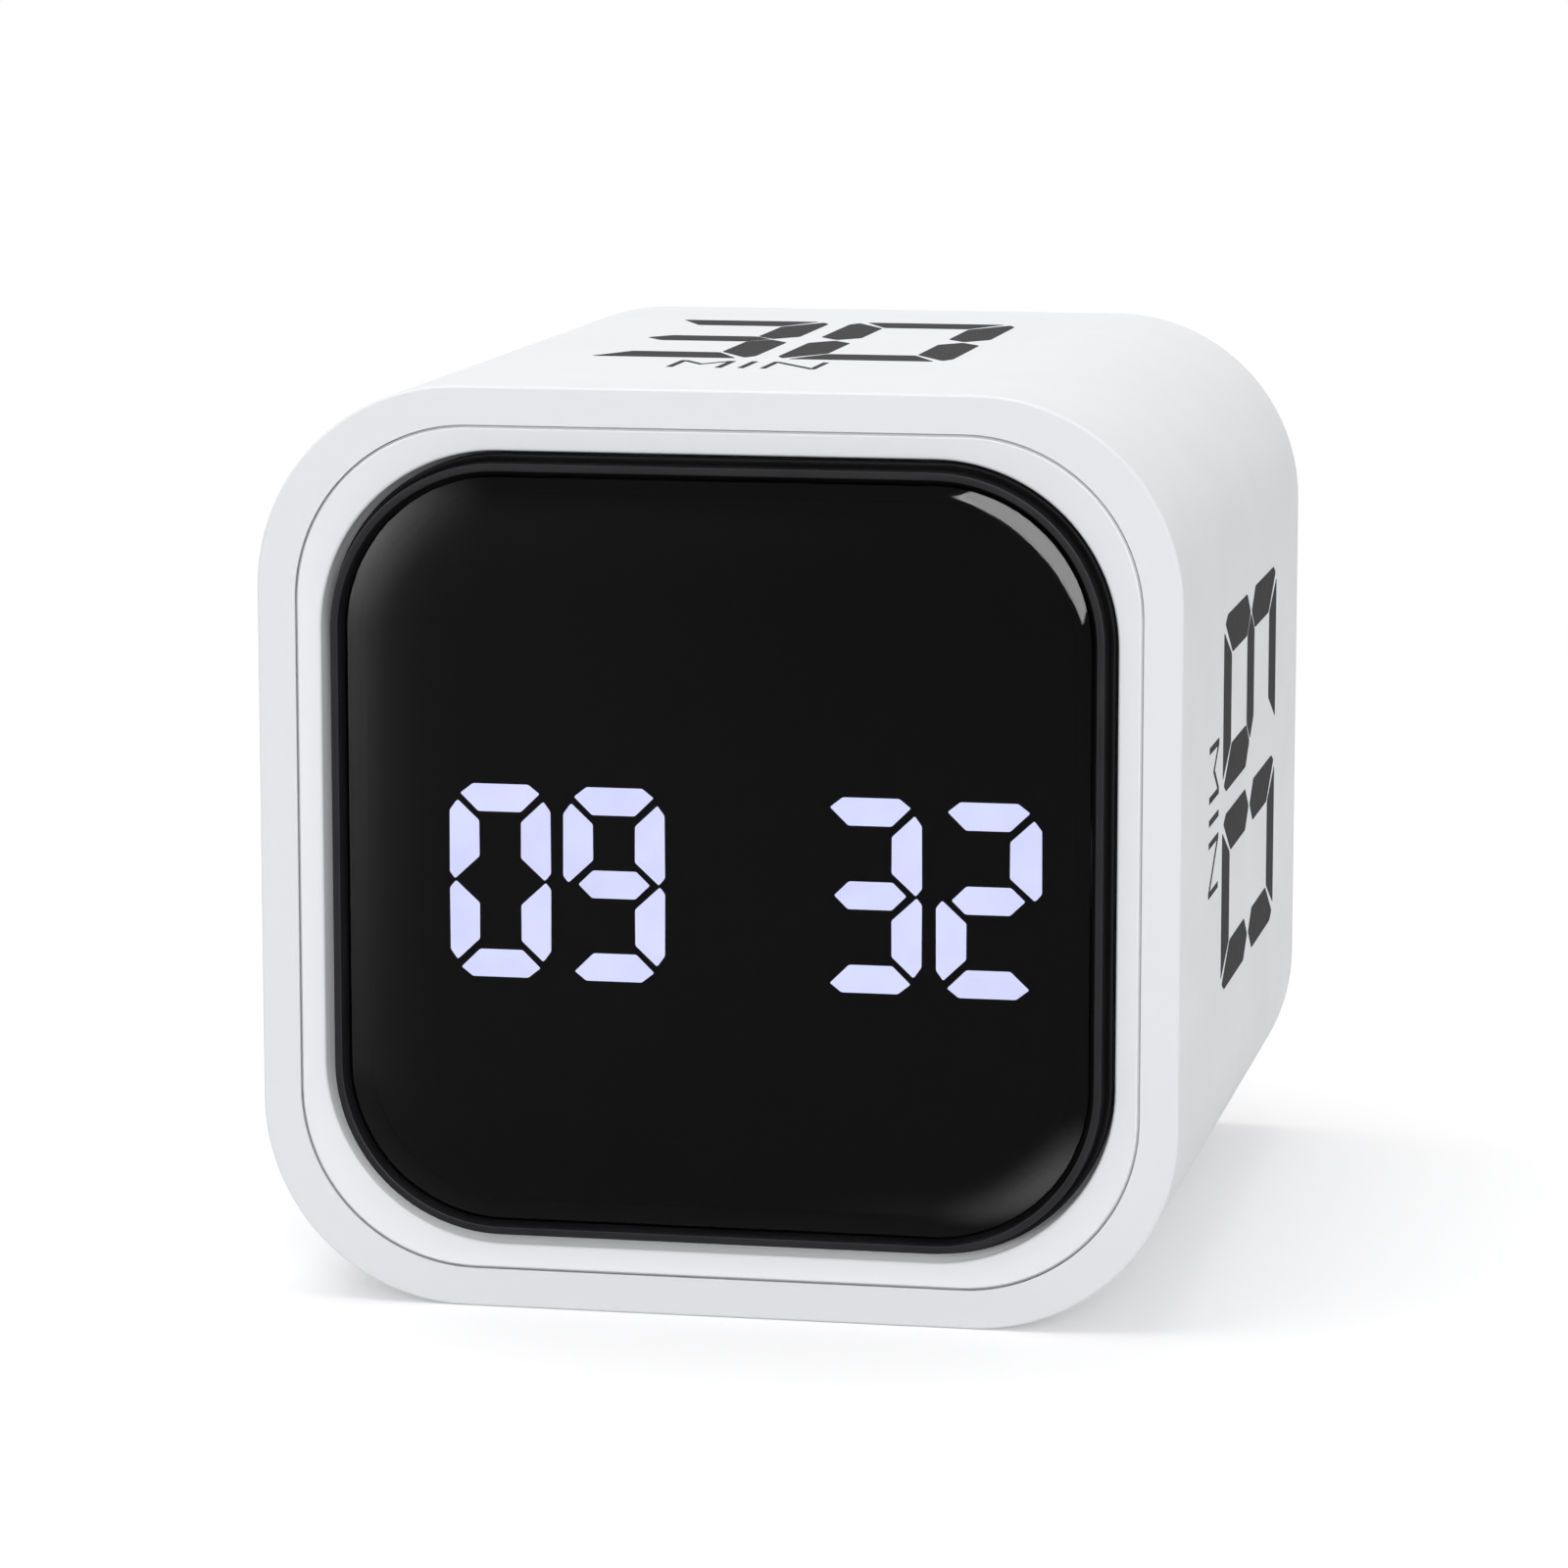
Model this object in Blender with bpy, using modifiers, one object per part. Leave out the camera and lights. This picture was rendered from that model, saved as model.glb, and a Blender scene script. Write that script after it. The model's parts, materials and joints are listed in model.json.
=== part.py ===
"""Cube timer with a lit four-digit display under a domed black lens.

Units are metres and +Z is up. The display faces -Y and the body stands on its
flat underside at Z = 0, centred on the origin in X and Y. Every piece hangs on
one datum at the middle of the front rim, so that in the sizes below a depth is
a distance behind that rim.
"""

import math
from typing import NamedTuple

import bmesh
import bpy
from mathutils import Matrix, Vector

MM = 0.001

# Body
BODY_WIDTH = 60.0 * MM
BODY_HEIGHT = 60.0 * MM
BODY_DEPTH = 65.5 * MM
BODY_CORNER_RADIUS = 13.3 * MM
FRONT_EDGE_RADIUS = 0.6 * MM
REAR_EDGE_RADIUS = 1.2 * MM

# Fits shared by all pieces
SEAT_GAP = 0.3 * MM
CUT_OVERRUN = 1.0 * MM
FUSE_BITE = 0.8 * MM
SHARPEST_RADIUS = 0.2 * MM

# Seam between the body and the pieces that close its two mouths
SEAM_INSET = 2.6 * MM
SEAM_CORNER_RADIUS = 11.45 * MM

# Front frame: sloping face, seat on the body's ledge, floor, skirt and hooks
FRAME_FACE_WIDTH = 1.4 * MM
FRAME_FACE_SLOPE = 0.3 * MM
WINDOW_CORNER_RADIUS = 11.75 * MM
FRAME_SEAT_DEPTH = 3.7 * MM
LEDGE_WIDTH = 0.95 * MM
LEDGE_THICKNESS = 1.5 * MM
FLOOR_THICKNESS = 1.5 * MM
SKIRT_DEPTH = 9.0 * MM
SKIRT_WALL = 1.5 * MM
HOOK_WIDTH = 8.0 * MM
HOOK_PROUD = 0.8 * MM
HOOK_LENGTH = 2.6 * MM

# Black bezel round the lens
MOAT_WIDTH = 0.75 * MM
MOAT_DEPTH = 1.7 * MM
CREST_WIDTH = 0.53 * MM
CREST_PROUD = 0.3 * MM
BEZEL_FOOT_THICKNESS = 1.3 * MM
BEZEL_LEDGE_WIDTH = 1.67 * MM

# Domed lens
LENS_GROOVE = 0.33 * MM
LENS_EDGE_DEPTH = 0.2 * MM
LENS_PROUD = 0.6 * MM
DOME_WIDTH = 10.1 * MM
DOME_POWER = 5.0
DOME_STEPS = 7

# Digits and what lights them
DIGIT_HEIGHT = 12.7 * MM
DIGIT_WIDTH_SHARE = 0.272
DIGIT_PITCH_SHARE = 0.3135
PAIR_GAP_SHARE = 0.689
SEGMENT_THICKNESS = 1.8 * MM
SEGMENT_GAP = 0.3 * MM
DISPLAY_CENTRE_SHARE = (0.054, -0.099)
DIFFUSER_THICKNESS = 0.5 * MM
REFLECTOR_DEPTH = 6.3 * MM
REFLECTOR_MARGIN = 1.2 * MM
WELL_TAPER_SHARE = 0.6
LED_LENGTH = 1.0 * MM
LED_WIDTH = 0.5 * MM
LED_HEIGHT = 0.4 * MM

# Circuit boards and what is soldered to them
BOARD_THICKNESS = 1.6 * MM
BOARD_CORNER_RADIUS = 1.0 * MM
DISPLAY_BOARD_CLEARANCE = 0.5 * MM
MAIN_BOARD_CLEARANCE = 0.6 * MM
CONNECTOR_WIDTH = 14.0 * MM
CONNECTOR_HEIGHT = 4.0 * MM
CONNECTOR_DEPTH = 2.0 * MM
DRIVER_WIDTH = 6.0 * MM
DRIVER_HEIGHT = 9.0 * MM
DRIVER_DEPTH = 1.6 * MM
CONTROLLER_SIDE = 7.0 * MM
CONTROLLER_DEPTH = 1.4 * MM
CHARGER_SIDE = 4.0 * MM
CHARGER_DEPTH = 0.9 * MM
TILT_SENSOR_SIDE = 3.0 * MM
TILT_SENSOR_DEPTH = 1.0 * MM
CHIP_BEVEL = 0.2 * MM
MOTOR_RADIUS = 5.0 * MM
MOTOR_DEPTH = 2.7 * MM
BUZZER_RADIUS = 6.0 * MM
BUZZER_DEPTH = 5.0 * MM
BUZZER_HOLE_RADIUS = 1.0 * MM
BATTERY_PLUG_WIDTH = 6.4 * MM
BATTERY_PLUG_HEIGHT = 4.8 * MM
BATTERY_PLUG_DEPTH = 5.0 * MM

# Places on the main board's front side, as shares of the rear cover's half sizes
FRONT_SIDE_SHARES = {
    "ribbon_connector": (0.0, 0.63),
    "battery_connector": (-0.4, 0.38),
    "microcontroller": (0.26, 0.16),
    "charger_chip": (0.08, -0.42),
    "tilt_sensor": (-0.12, 0.04),
    "vibration_motor": (-0.42, -0.30),
}
DISPLAY_CONNECTOR_SHARE = (0.0, 0.60)
DISPLAY_DRIVER_SHARE = (-0.40, -0.05)

# Places on the rear cover and the board side behind it, as shares of the
# cover's half sizes
BUTTON_SHARES = {"minute": (-0.51, 0.24), "second": (0.0, 0.24), "start": (0.51, 0.24)}
SLIDER_SHARE = (-0.44, -0.22)
BUZZER_SHARE = (0.44, -0.22)
USB_SHARE = (0.0, -0.62)
POST_SHARES = ((-0.46, -0.70), (0.46, -0.70), (-0.46, 0.70), (0.46, 0.70))

# Screws and the bosses that they bite into
SHANK_RADIUS = 1.0 * MM
HEAD_RADIUS = 1.9 * MM
HEAD_HEIGHT = 0.9 * MM
HEAD_CHAMFER = 0.3 * MM
TIP_LENGTH = 0.8 * MM
COVER_SCREW_LENGTH = 9.0 * MM
BOARD_SCREW_LENGTH = 5.6 * MM
TOWER_RADIUS = 3.2 * MM
TOWER_INSET = 7.15 * MM
TOWER_LENGTH = 28.0 * MM
TOWER_WEB = 2.0 * MM
POST_RADIUS = 2.2 * MM
FRAME_POST_INSET = 5.6 * MM

# Battery, its tray, and the bosses and rails that carry the tray
CELL_WIDTH = 30.0 * MM
CELL_HEIGHT = 30.0 * MM
CELL_THICKNESS = 10.0 * MM
CELL_EDGE_RADIUS = 1.8 * MM
TAPE_THICKNESS = 1.0 * MM
TAPE_INSET = 2.0 * MM
TRAY_WALL = 1.2 * MM
TRAY_FLOOR = 1.5 * MM
TRAY_RIM_DEPTH = 10.2 * MM
TRAY_CORNER_RADIUS = 2.0 * MM
TRAY_FRONT_DEPTH = 20.3 * MM
CLIP_WIDTH = 8.0 * MM
CLIP_LIP = 1.5 * MM
CLIP_THICKNESS = 1.2 * MM
EAR_HALF_HEIGHT = 4.0 * MM
EAR_SCREW_INSET = 3.6 * MM
SIDE_BOSS_LENGTH = 6.0 * MM
SIDE_BOSS_HALF_HEIGHT = 3.0 * MM
SIDE_BOSS_WALL = 2.4 * MM
RAIL_HEIGHT = 2.5 * MM
RAIL_THICKNESS = 1.2 * MM
RAIL_LENGTH = 46.0 * MM

# Ribbon between the boards and the battery's two leads
RIBBON_WIDTH = 12.0 * MM
RIBBON_THICKNESS = 0.4 * MM
RIBBON_CLEARANCE = 5.5 * MM
RIBBON_BEND = 10.0 * MM
RIBBON_STEPS = 28
LEAD_RADIUS = 0.6 * MM
LEAD_SPACING = 2.0 * MM
LEAD_RISE = 3.8 * MM
LEAD_NOTCH_WIDTH = 6.0 * MM
LEAD_STRAIGHT_SHARE = 0.16
LEAD_STEPS = 5

# Rear cover
REAR_RECESS = 1.2 * MM
COVER_THICKNESS = 2.2 * MM
COVER_EDGE_RADIUS = 0.3 * MM
COUNTERBORE_DEPTH = 1.3 * MM
COVER_POST_LENGTH = 6.4 * MM
COLLAR_WALL = 1.0 * MM
COLLAR_LENGTH = 2.4 * MM
COLLAR_CLEARANCE = 0.4 * MM
SOUND_HOLE_RADIUS = 0.6 * MM
SOUND_HOLE_PITCH = 2.4 * MM
SOUND_HOLE_COUNT = 6

# Push buttons and the switches behind them
BUTTON_RADIUS = 3.5 * MM
BUTTON_PROUD = 0.8 * MM
BUTTON_TRAVEL = 0.5 * MM
BUTTON_DISH = 0.25 * MM
BUTTON_EDGE = 0.35 * MM
BUTTON_FLANGE = 1.0 * MM
FLANGE_THICKNESS = 0.8 * MM
STEM_RADIUS = 1.6 * MM
TACT_SIDE = 6.0 * MM
TACT_DEPTH = 3.3 * MM
PLUNGER_RADIUS = 1.75 * MM
PLUNGER_PROUD = 0.6 * MM
PLUNGER_LENGTH = 1.4 * MM

# Sound slider and its switch
SLIDER_GRIP_LENGTH = 4.0 * MM
SLIDER_GRIP_HEIGHT = 3.0 * MM
SLIDER_PROUD = 0.6 * MM
SLIDER_TRAVEL = 2.0 * MM
SLIDER_OVERLAP = 2.2 * MM
SHIELD_THICKNESS = 0.8 * MM
STUB_SIDE = 1.6 * MM
GROOVE_DEPTH = 1.2 * MM
SWITCH_LENGTH = 8.6 * MM
SWITCH_HEIGHT = 3.6 * MM
SWITCH_DEPTH = 3.3 * MM
GRIP_RIDGE_COUNT = 3
GRIP_RIDGE_WIDTH = 0.5 * MM
GRIP_RIDGE_DEPTH = 0.25 * MM

# Charging socket
SOCKET_WIDTH = 8.94 * MM
SOCKET_HEIGHT = 3.26 * MM
SOCKET_WALL = 0.3 * MM
SOCKET_SUNK = 0.4 * MM
SOCKET_CAVITY_DEPTH = 6.2 * MM
TONGUE_WIDTH = 6.7 * MM
TONGUE_THICKNESS = 0.7 * MM
TONGUE_LENGTH = 4.5 * MM

# Fineness of round shapes
BODY_ARC = 10
EDGE_ARC = 3
SMALL_ARC = 3
ROUND_SIDES = 24
HOLE_SIDES = 16
SCREW_SIDES = 10
SMALL_SIDES = 8
COVER_EDGE_ARC = 2
SOCKET_ARC = 4
MERGE_DISTANCE = 0.01 * MM
SHARP_ANGLE = math.radians(35)


class Outline(NamedTuple):
    """Rounded rectangle about the datum: half sizes and corner radius."""

    half_width: float
    half_height: float
    radius: float

    def grown(self, by):
        """The same outline moved outwards by a distance."""
        radius = max(self.radius + by, SHARPEST_RADIUS)
        return Outline(self.half_width + by, self.half_height + by, radius)


# Outlines, from the body's side inwards
BODY = Outline(BODY_WIDTH / 2, BODY_HEIGHT / 2, BODY_CORNER_RADIUS)
SEAM = Outline(BODY.half_width - SEAM_INSET, BODY.half_height - SEAM_INSET, SEAM_CORNER_RADIUS)
MOUTH = SEAM.grown(SEAT_GAP / 2)
FRAME = SEAM.grown(-SEAT_GAP / 2)
LEDGE = MOUTH.grown(-LEDGE_WIDTH)
SKIRT = LEDGE.grown(-SEAT_GAP)
SKIRT_INNER = SKIRT.grown(-SKIRT_WALL)
WINDOW = Outline(
    FRAME.half_width - FRAME_FACE_WIDTH, FRAME.half_height - FRAME_FACE_WIDTH, WINDOW_CORNER_RADIUS
)
BEZEL_FOOT = WINDOW.grown(-SEAT_GAP)
BEZEL = WINDOW.grown(-MOAT_WIDTH)
BEZEL_INNER = BEZEL.grown(-CREST_WIDTH)
BEZEL_OPENING = BEZEL_INNER.grown(-BEZEL_LEDGE_WIDTH)
LENS = BEZEL_INNER.grown(-LENS_GROOVE)
DIFFUSER = BEZEL_OPENING.grown(-SEAT_GAP)
DISPLAY_BOARD = SKIRT_INNER.grown(-DISPLAY_BOARD_CLEARANCE)
CELL = Outline(CELL_WIDTH / 2, CELL_HEIGHT / 2, CELL_EDGE_RADIUS)
TRAY_POCKET = CELL.grown(SEAT_GAP)
TRAY = Outline(
    TRAY_POCKET.half_width + TRAY_WALL, TRAY_POCKET.half_height + TRAY_WALL, TRAY_CORNER_RADIUS
)
MAIN_BOARD = Outline(
    MOUTH.half_width - RAIL_HEIGHT - MAIN_BOARD_CLEARANCE,
    MOUTH.half_height - RAIL_HEIGHT - MAIN_BOARD_CLEARANCE,
    BOARD_CORNER_RADIUS,
)

# Depths of the display stack
FLOOR_FRONT = MOAT_DEPTH + BEZEL_FOOT_THICKNESS + SEAT_GAP
FLOOR_REAR = FLOOR_FRONT + FLOOR_THICKNESS
LEDGE_FRONT = FRAME_SEAT_DEPTH + SEAT_GAP
LEDGE_REAR = LEDGE_FRONT + LEDGE_THICKNESS
LENS_REAR = MOAT_DEPTH - SEAT_GAP
DIFFUSER_REAR = FLOOR_FRONT - SEAT_GAP
REFLECTOR_REAR = FLOOR_FRONT + REFLECTOR_DEPTH
DISPLAY_BOARD_FRONT = REFLECTOR_REAR + SEAT_GAP
DISPLAY_BOARD_REAR = DISPLAY_BOARD_FRONT + BOARD_THICKNESS

# Depths of the battery and its tray
TRAY_FLOOR_REAR = TRAY_FRONT_DEPTH + TRAY_FLOOR
TAPE_FRONT = TRAY_FLOOR_REAR + SEAT_GAP
CELL_FRONT = TAPE_FRONT + TAPE_THICKNESS + SEAT_GAP
CELL_REAR = CELL_FRONT + CELL_THICKNESS
CLIP_FRONT = CELL_REAR + SEAT_GAP

# Depths of the rear cover and the board behind it
COVER_REAR = BODY_DEPTH - REAR_RECESS
COVER_FRONT = COVER_REAR - COVER_THICKNESS
TOWER_REAR = COVER_FRONT - SEAT_GAP
POST_FRONT = COVER_FRONT - COVER_POST_LENGTH
MAIN_BOARD_REAR = POST_FRONT - SEAT_GAP
MAIN_BOARD_FRONT = MAIN_BOARD_REAR - BOARD_THICKNESS
REAR_PART_SEAT = MAIN_BOARD_REAR + SEAT_GAP
FRONT_PART_SEAT = MAIN_BOARD_FRONT - SEAT_GAP
FLANGE_REAR = COVER_FRONT - SEAT_GAP
PILOT_RADIUS = SHANK_RADIUS + SEAT_GAP

# Places of the screws
TOWER_X = MOUTH.half_width - TOWER_INSET
TOWER_Z = MOUTH.half_height - TOWER_INSET
FRAME_POST_X = SKIRT_INNER.half_width - FRAME_POST_INSET
FRAME_POST_Z = SKIRT_INNER.half_height - FRAME_POST_INSET
EAR_SCREW_X = MOUTH.half_width - EAR_SCREW_INSET

# Layout of the digits across the lens
DIGIT_WIDTH = LENS.half_width * DIGIT_WIDTH_SHARE
DIGIT_PITCH = LENS.half_width * DIGIT_PITCH_SHARE
PAIR_GAP = LENS.half_width * PAIR_GAP_SHARE
DISPLAY_X = LENS.half_width * DISPLAY_CENTRE_SHARE[0]
DISPLAY_Z = LENS.half_height * DISPLAY_CENTRE_SHARE[1]

FINISHES = {
    "white_plastic": ((0.83, 0.84, 0.85), 0.38, 0.0),
    "black_plastic": ((0.035, 0.035, 0.038), 0.32, 0.0),
    "black_lens": ((0.006, 0.006, 0.008), 0.05, 0.0),
    "diffusing_film": ((0.30, 0.31, 0.36), 0.55, 0.0),
    "reflector_plastic": ((0.78, 0.78, 0.78), 0.50, 0.0),
    "circuit_board": ((0.03, 0.16, 0.08), 0.45, 0.0),
    "chip_resin": ((0.02, 0.02, 0.022), 0.50, 0.0),
    "connector_plastic": ((0.76, 0.73, 0.64), 0.45, 0.0),
    "plated_steel": ((0.62, 0.62, 0.60), 0.28, 1.0),
    "zinc_screw": ((0.55, 0.56, 0.58), 0.30, 1.0),
    "battery_foil": ((0.58, 0.60, 0.64), 0.35, 1.0),
    "foam_tape": ((0.70, 0.70, 0.66), 0.90, 0.0),
    "ribbon_film": ((0.72, 0.72, 0.70), 0.40, 0.0),
    "red_insulation": ((0.52, 0.02, 0.02), 0.45, 0.0),
    "black_insulation": ((0.02, 0.02, 0.02), 0.45, 0.0),
    "gray_plastic": ((0.30, 0.31, 0.33), 0.45, 0.0),
}


def clear_scene():
    """Remove whatever objects the scene starts with."""
    for item in list(bpy.data.objects):
        bpy.data.objects.remove(item, do_unlink=True)


def make_collection(name):
    """Collection of a given name, linked to the scene."""
    collection = bpy.data.collections.new(name)
    bpy.context.scene.collection.children.link(collection)
    return collection


def make_finish(name):
    """Principled material for one of the named finishes."""
    colour, roughness, metallic = FINISHES[name]
    material = bpy.data.materials.new(name)
    material.use_nodes = True
    shader = material.node_tree.nodes["Principled BSDF"]
    shader.inputs["Base Color"].default_value = (*colour, 1.0)
    shader.inputs["Roughness"].default_value = roughness
    shader.inputs["Metallic"].default_value = metallic
    return material


class Assembly:
    """Links parts and tools under one datum and fuses or cuts them."""

    def __init__(self):
        self.parts = make_collection("cube_timer")
        self.tools = make_collection("cube_timer_cutters")
        self.finishes = {name: make_finish(name) for name in FINISHES}
        front_y = (LENS_PROUD - BODY_DEPTH) / 2
        self.datum = bpy.data.objects.new("front_datum", None)
        self.datum.location = (0, front_y, BODY_HEIGHT / 2)
        self.parts.objects.link(self.datum)

    def part(self, name, mesh, finish, at=(0, 0, 0)):
        """A named piece, with its origin at a place behind the datum."""
        item = bpy.data.objects.new(name, mesh)
        item.parent = self.datum
        item.location = at
        mesh.materials.append(self.finishes[finish])
        self.parts.objects.link(item)
        return item

    def tool(self, name, mesh, at=(0, 0, 0)):
        """A shape that cuts or adds to a piece and isn't one itself."""
        item = bpy.data.objects.new(name, mesh)
        item.parent = self.datum
        item.location = at
        item.hide_render = True
        item.display_type = "WIRE"
        self.tools.objects.link(item)
        return item

    def shape(self, target, operation, mesh, at=(0, 0, 0)):
        """Add a Boolean to a piece, with a mesh as its tool."""
        tool = self.tool(f"{target.name}_{mesh.name}", mesh, at)
        modifier = target.modifiers.new(mesh.name, "BOOLEAN")
        modifier.operation = operation
        modifier.solver = "EXACT"
        modifier.object = tool

    def cut(self, target, mesh, at=(0, 0, 0)):
        """Take a mesh out of a piece."""
        self.shape(target, "DIFFERENCE", mesh, at)

    def fuse(self, target, mesh, at=(0, 0, 0)):
        """Join a mesh to a piece."""
        self.shape(target, "UNION", mesh, at)


def to_mesh(name, shape):
    """Turn a bmesh into mesh data with its faces outwards and curves smooth."""
    bmesh.ops.recalc_face_normals(shape, faces=shape.faces)
    mesh = bpy.data.meshes.new(name)
    shape.to_mesh(mesh)
    shape.free()
    mesh.shade_smooth()
    mesh.set_sharp_from_angle(angle=SHARP_ANGLE)
    return mesh


def outline_points(outline, arc):
    """Points of a rounded rectangle as (x, z) pairs, in one turn."""
    points = []
    for quarter, (side, end) in enumerate(((1, 1), (-1, 1), (-1, -1), (1, -1))):
        centre_x = side * (outline.half_width - outline.radius)
        centre_z = end * (outline.half_height - outline.radius)
        for step in range(arc + 1):
            angle = math.radians(90) * (quarter + step / arc)
            x = centre_x + outline.radius * math.cos(angle)
            z = centre_z + outline.radius * math.sin(angle)
            points.append((x, z))
    return points


def loft(name, sections, arc, closed=False):
    """Solid through (depth, outline) sections; closed ones go round a hole."""
    shape = bmesh.new()
    rings = []
    for depth, outline in sections:
        rings.append([shape.verts.new((x, depth, z)) for x, z in outline_points(outline, arc)])
    skin(shape, [*rings, rings[0]] if closed else rings)
    if not closed:
        shape.faces.new(rings[0])
        shape.faces.new(rings[-1])
    return to_mesh(name, shape)


def skin(shape, rings):
    """Faces between each ring of corners and the next one."""
    for first, second in zip(rings, rings[1:]):
        for index, corner in enumerate(first):
            following = (index + 1) % len(first)
            shape.faces.new((corner, first[following], second[following], second[index]))


def edge_round(face_depth, inward, outline, radius, steps, spread=-1):
    """Sections of a quarter round from a side wall up to a face.

    The outline shrinks towards the face, or grows where spread is 1.
    """
    sections = []
    for step in range(steps + 1):
        angle = math.radians(90) * step / steps
        depth = face_depth + inward * radius * (1 - math.sin(angle))
        sections.append((depth, outline.grown(spread * radius * (1 - math.cos(angle)))))
    return sections


def add_block(shape, low, high, turn=0.0):
    """Add a box between two corners, turned about its middle's depth axis."""
    low, high = Vector(low), Vector(high)
    size = Matrix.Diagonal((*(high - low), 1.0))
    place = Matrix.Translation((low + high) / 2) @ Matrix.Rotation(turn, 4, "Y")
    return bmesh.ops.create_cube(shape, size=1.0, matrix=place @ size)["verts"]


def blocks(name, boxes):
    """Mesh of separate boxes, each given by its two corners."""
    shape = bmesh.new()
    for low, high in boxes:
        add_block(shape, low, high)
    return to_mesh(name, shape)


def rods(name, places, radius, front, rear, sides):
    """Mesh of separate round rods along the depth, one at each (x, z) place."""
    shape = bmesh.new()
    for x, z in places:
        place = Matrix.Translation((x, (front + rear) / 2, z)) @ Matrix.Rotation(math.radians(90), 4, "X")
        bmesh.ops.create_cone(
            shape, cap_ends=True, segments=sides, radius1=radius, radius2=radius,
            depth=rear - front, matrix=place,
        )
    return to_mesh(name, shape)


def rounded_block(name, outline, front, rear, arc, edge=0.0, edge_arc=1):
    """Cube with rounded corners and, where an edge is given, rounded rims."""
    shape = bmesh.new()
    low = (-outline.half_width, front, -outline.half_height)
    high = (outline.half_width, rear, outline.half_height)
    add_block(shape, low, high)
    uprights = [line for line in shape.edges if is_upright(line)]
    bevel_edges(shape, uprights, outline.radius, arc)
    if edge:
        rims = [line for line in shape.edges if not is_upright(line)]
        bevel_edges(shape, rims, edge, edge_arc)
    return to_mesh(name, shape)


def is_upright(line):
    """Whether an edge of a block runs along the depth."""
    first, second = line.verts
    return abs(first.co.y - second.co.y) > MERGE_DISTANCE


def bevel_edges(shape, edges, offset, steps):
    """Round some edges of a shape off."""
    bmesh.ops.bevel(shape, geom=edges, offset=offset, segments=steps, profile=0.5, affect="EDGES")


def turned_mesh(name, profile):
    """Edge chain of (radius, depth) points, from the rear end to the front."""
    shape = bmesh.new()
    corners = [shape.verts.new((radius, 0, depth)) for radius, depth in profile]
    for first, second in zip(corners, corners[1:]):
        shape.edges.new((first, second))
    mesh = bpy.data.meshes.new(name)
    shape.to_mesh(mesh)
    shape.free()
    return mesh


def turned_part(assembly, name, profile, finish, place, sides):
    """Piece turned about an axis along the depth at an (x, z) place."""
    x, z = place
    item = assembly.part(name, turned_mesh(name, profile), finish, (x, 0, z))
    item.rotation_euler = (math.radians(-90), 0, 0)
    screw = item.modifiers.new("turn", "SCREW")
    screw.steps = sides
    screw.render_steps = sides
    screw.use_merge_vertices = True
    screw.merge_threshold = MERGE_DISTANCE
    screw.use_smooth_shade = True
    return item


def four_places(x, z):
    """The four corners of a rectangle about the datum."""
    return [(side * x, end * z) for side in (-1, 1) for end in (-1, 1)]


def rear_place(share):
    """Place on the rear cover from shares of its half sizes."""
    return FRAME.half_width * share[0], FRAME.half_height * share[1]


def make_main_housing(assembly):
    """Square tube with rounded corners, front ledge, screw towers and rails."""
    front = edge_round(0, 1, BODY, FRONT_EDGE_RADIUS, EDGE_ARC)
    rear = edge_round(BODY_DEPTH, -1, BODY, REAR_EDGE_RADIUS, EDGE_ARC)
    inside = [
        (BODY_DEPTH, MOUTH), (LEDGE_REAR, MOUTH), (LEDGE_REAR, LEDGE),
        (LEDGE_FRONT, LEDGE), (LEDGE_FRONT, MOUTH), (0, MOUTH),
    ]
    shell = loft("main_housing", [*reversed(front), *rear, *inside], BODY_ARC, closed=True)
    housing = assembly.part("main_housing", shell, "white_plastic")
    towers = four_places(TOWER_X, TOWER_Z)
    tower_front = TOWER_REAR - TOWER_LENGTH
    assembly.fuse(housing, rods("towers", towers, TOWER_RADIUS, tower_front, TOWER_REAR, ROUND_SIDES))
    assembly.fuse(housing, tower_webs(tower_front))
    assembly.fuse(housing, blocks("bosses", side_bosses() + side_rails()))
    bore_front = TOWER_REAR - COVER_SCREW_LENGTH
    assembly.cut(
        housing, rods("bores", towers, PILOT_RADIUS, bore_front, TOWER_REAR + CUT_OVERRUN, SCREW_SIDES)
    )
    boss_rear = TRAY_FRONT_DEPTH - SEAT_GAP
    pilots = [(-EAR_SCREW_X, 0), (EAR_SCREW_X, 0)]
    pilot_front = boss_rear - SIDE_BOSS_LENGTH + TRAY_FLOOR
    assembly.cut(
        housing, rods("pilots", pilots, PILOT_RADIUS, pilot_front, boss_rear + CUT_OVERRUN, SCREW_SIDES)
    )


def tower_webs(tower_front):
    """Webs that tie each screw tower to the body's rounded corner."""
    shape = bmesh.new()
    to_tower = math.sqrt(2) * (MOUTH.radius - TOWER_INSET)
    length = MOUTH.radius - to_tower + FUSE_BITE
    for x, z in four_places(TOWER_X, TOWER_Z):
        turn = math.radians(-45) if x * z > 0 else math.radians(45)
        shift = length / 2 / math.sqrt(2)
        middle = Vector((x + math.copysign(shift, x), 0, z + math.copysign(shift, z)))
        low = middle + Vector((-length / 2, tower_front + FUSE_BITE, -TOWER_WEB / 2))
        high = middle + Vector((length / 2, TOWER_REAR - FUSE_BITE, TOWER_WEB / 2))
        add_block(shape, low, high, turn)
    return to_mesh("webs", shape)


def side_bosses():
    """Boxes on the left and right walls that the tray's ears are screwed to."""
    rear = TRAY_FRONT_DEPTH - SEAT_GAP
    inner, outer = EAR_SCREW_X - SIDE_BOSS_WALL, MOUTH.half_width + FUSE_BITE
    boxes = []
    for low_x, high_x in ((-outer, -inner), (inner, outer)):
        low = (low_x, rear - SIDE_BOSS_LENGTH, -SIDE_BOSS_HALF_HEIGHT)
        boxes.append((low, (high_x, rear, SIDE_BOSS_HALF_HEIGHT)))
    return boxes


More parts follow.
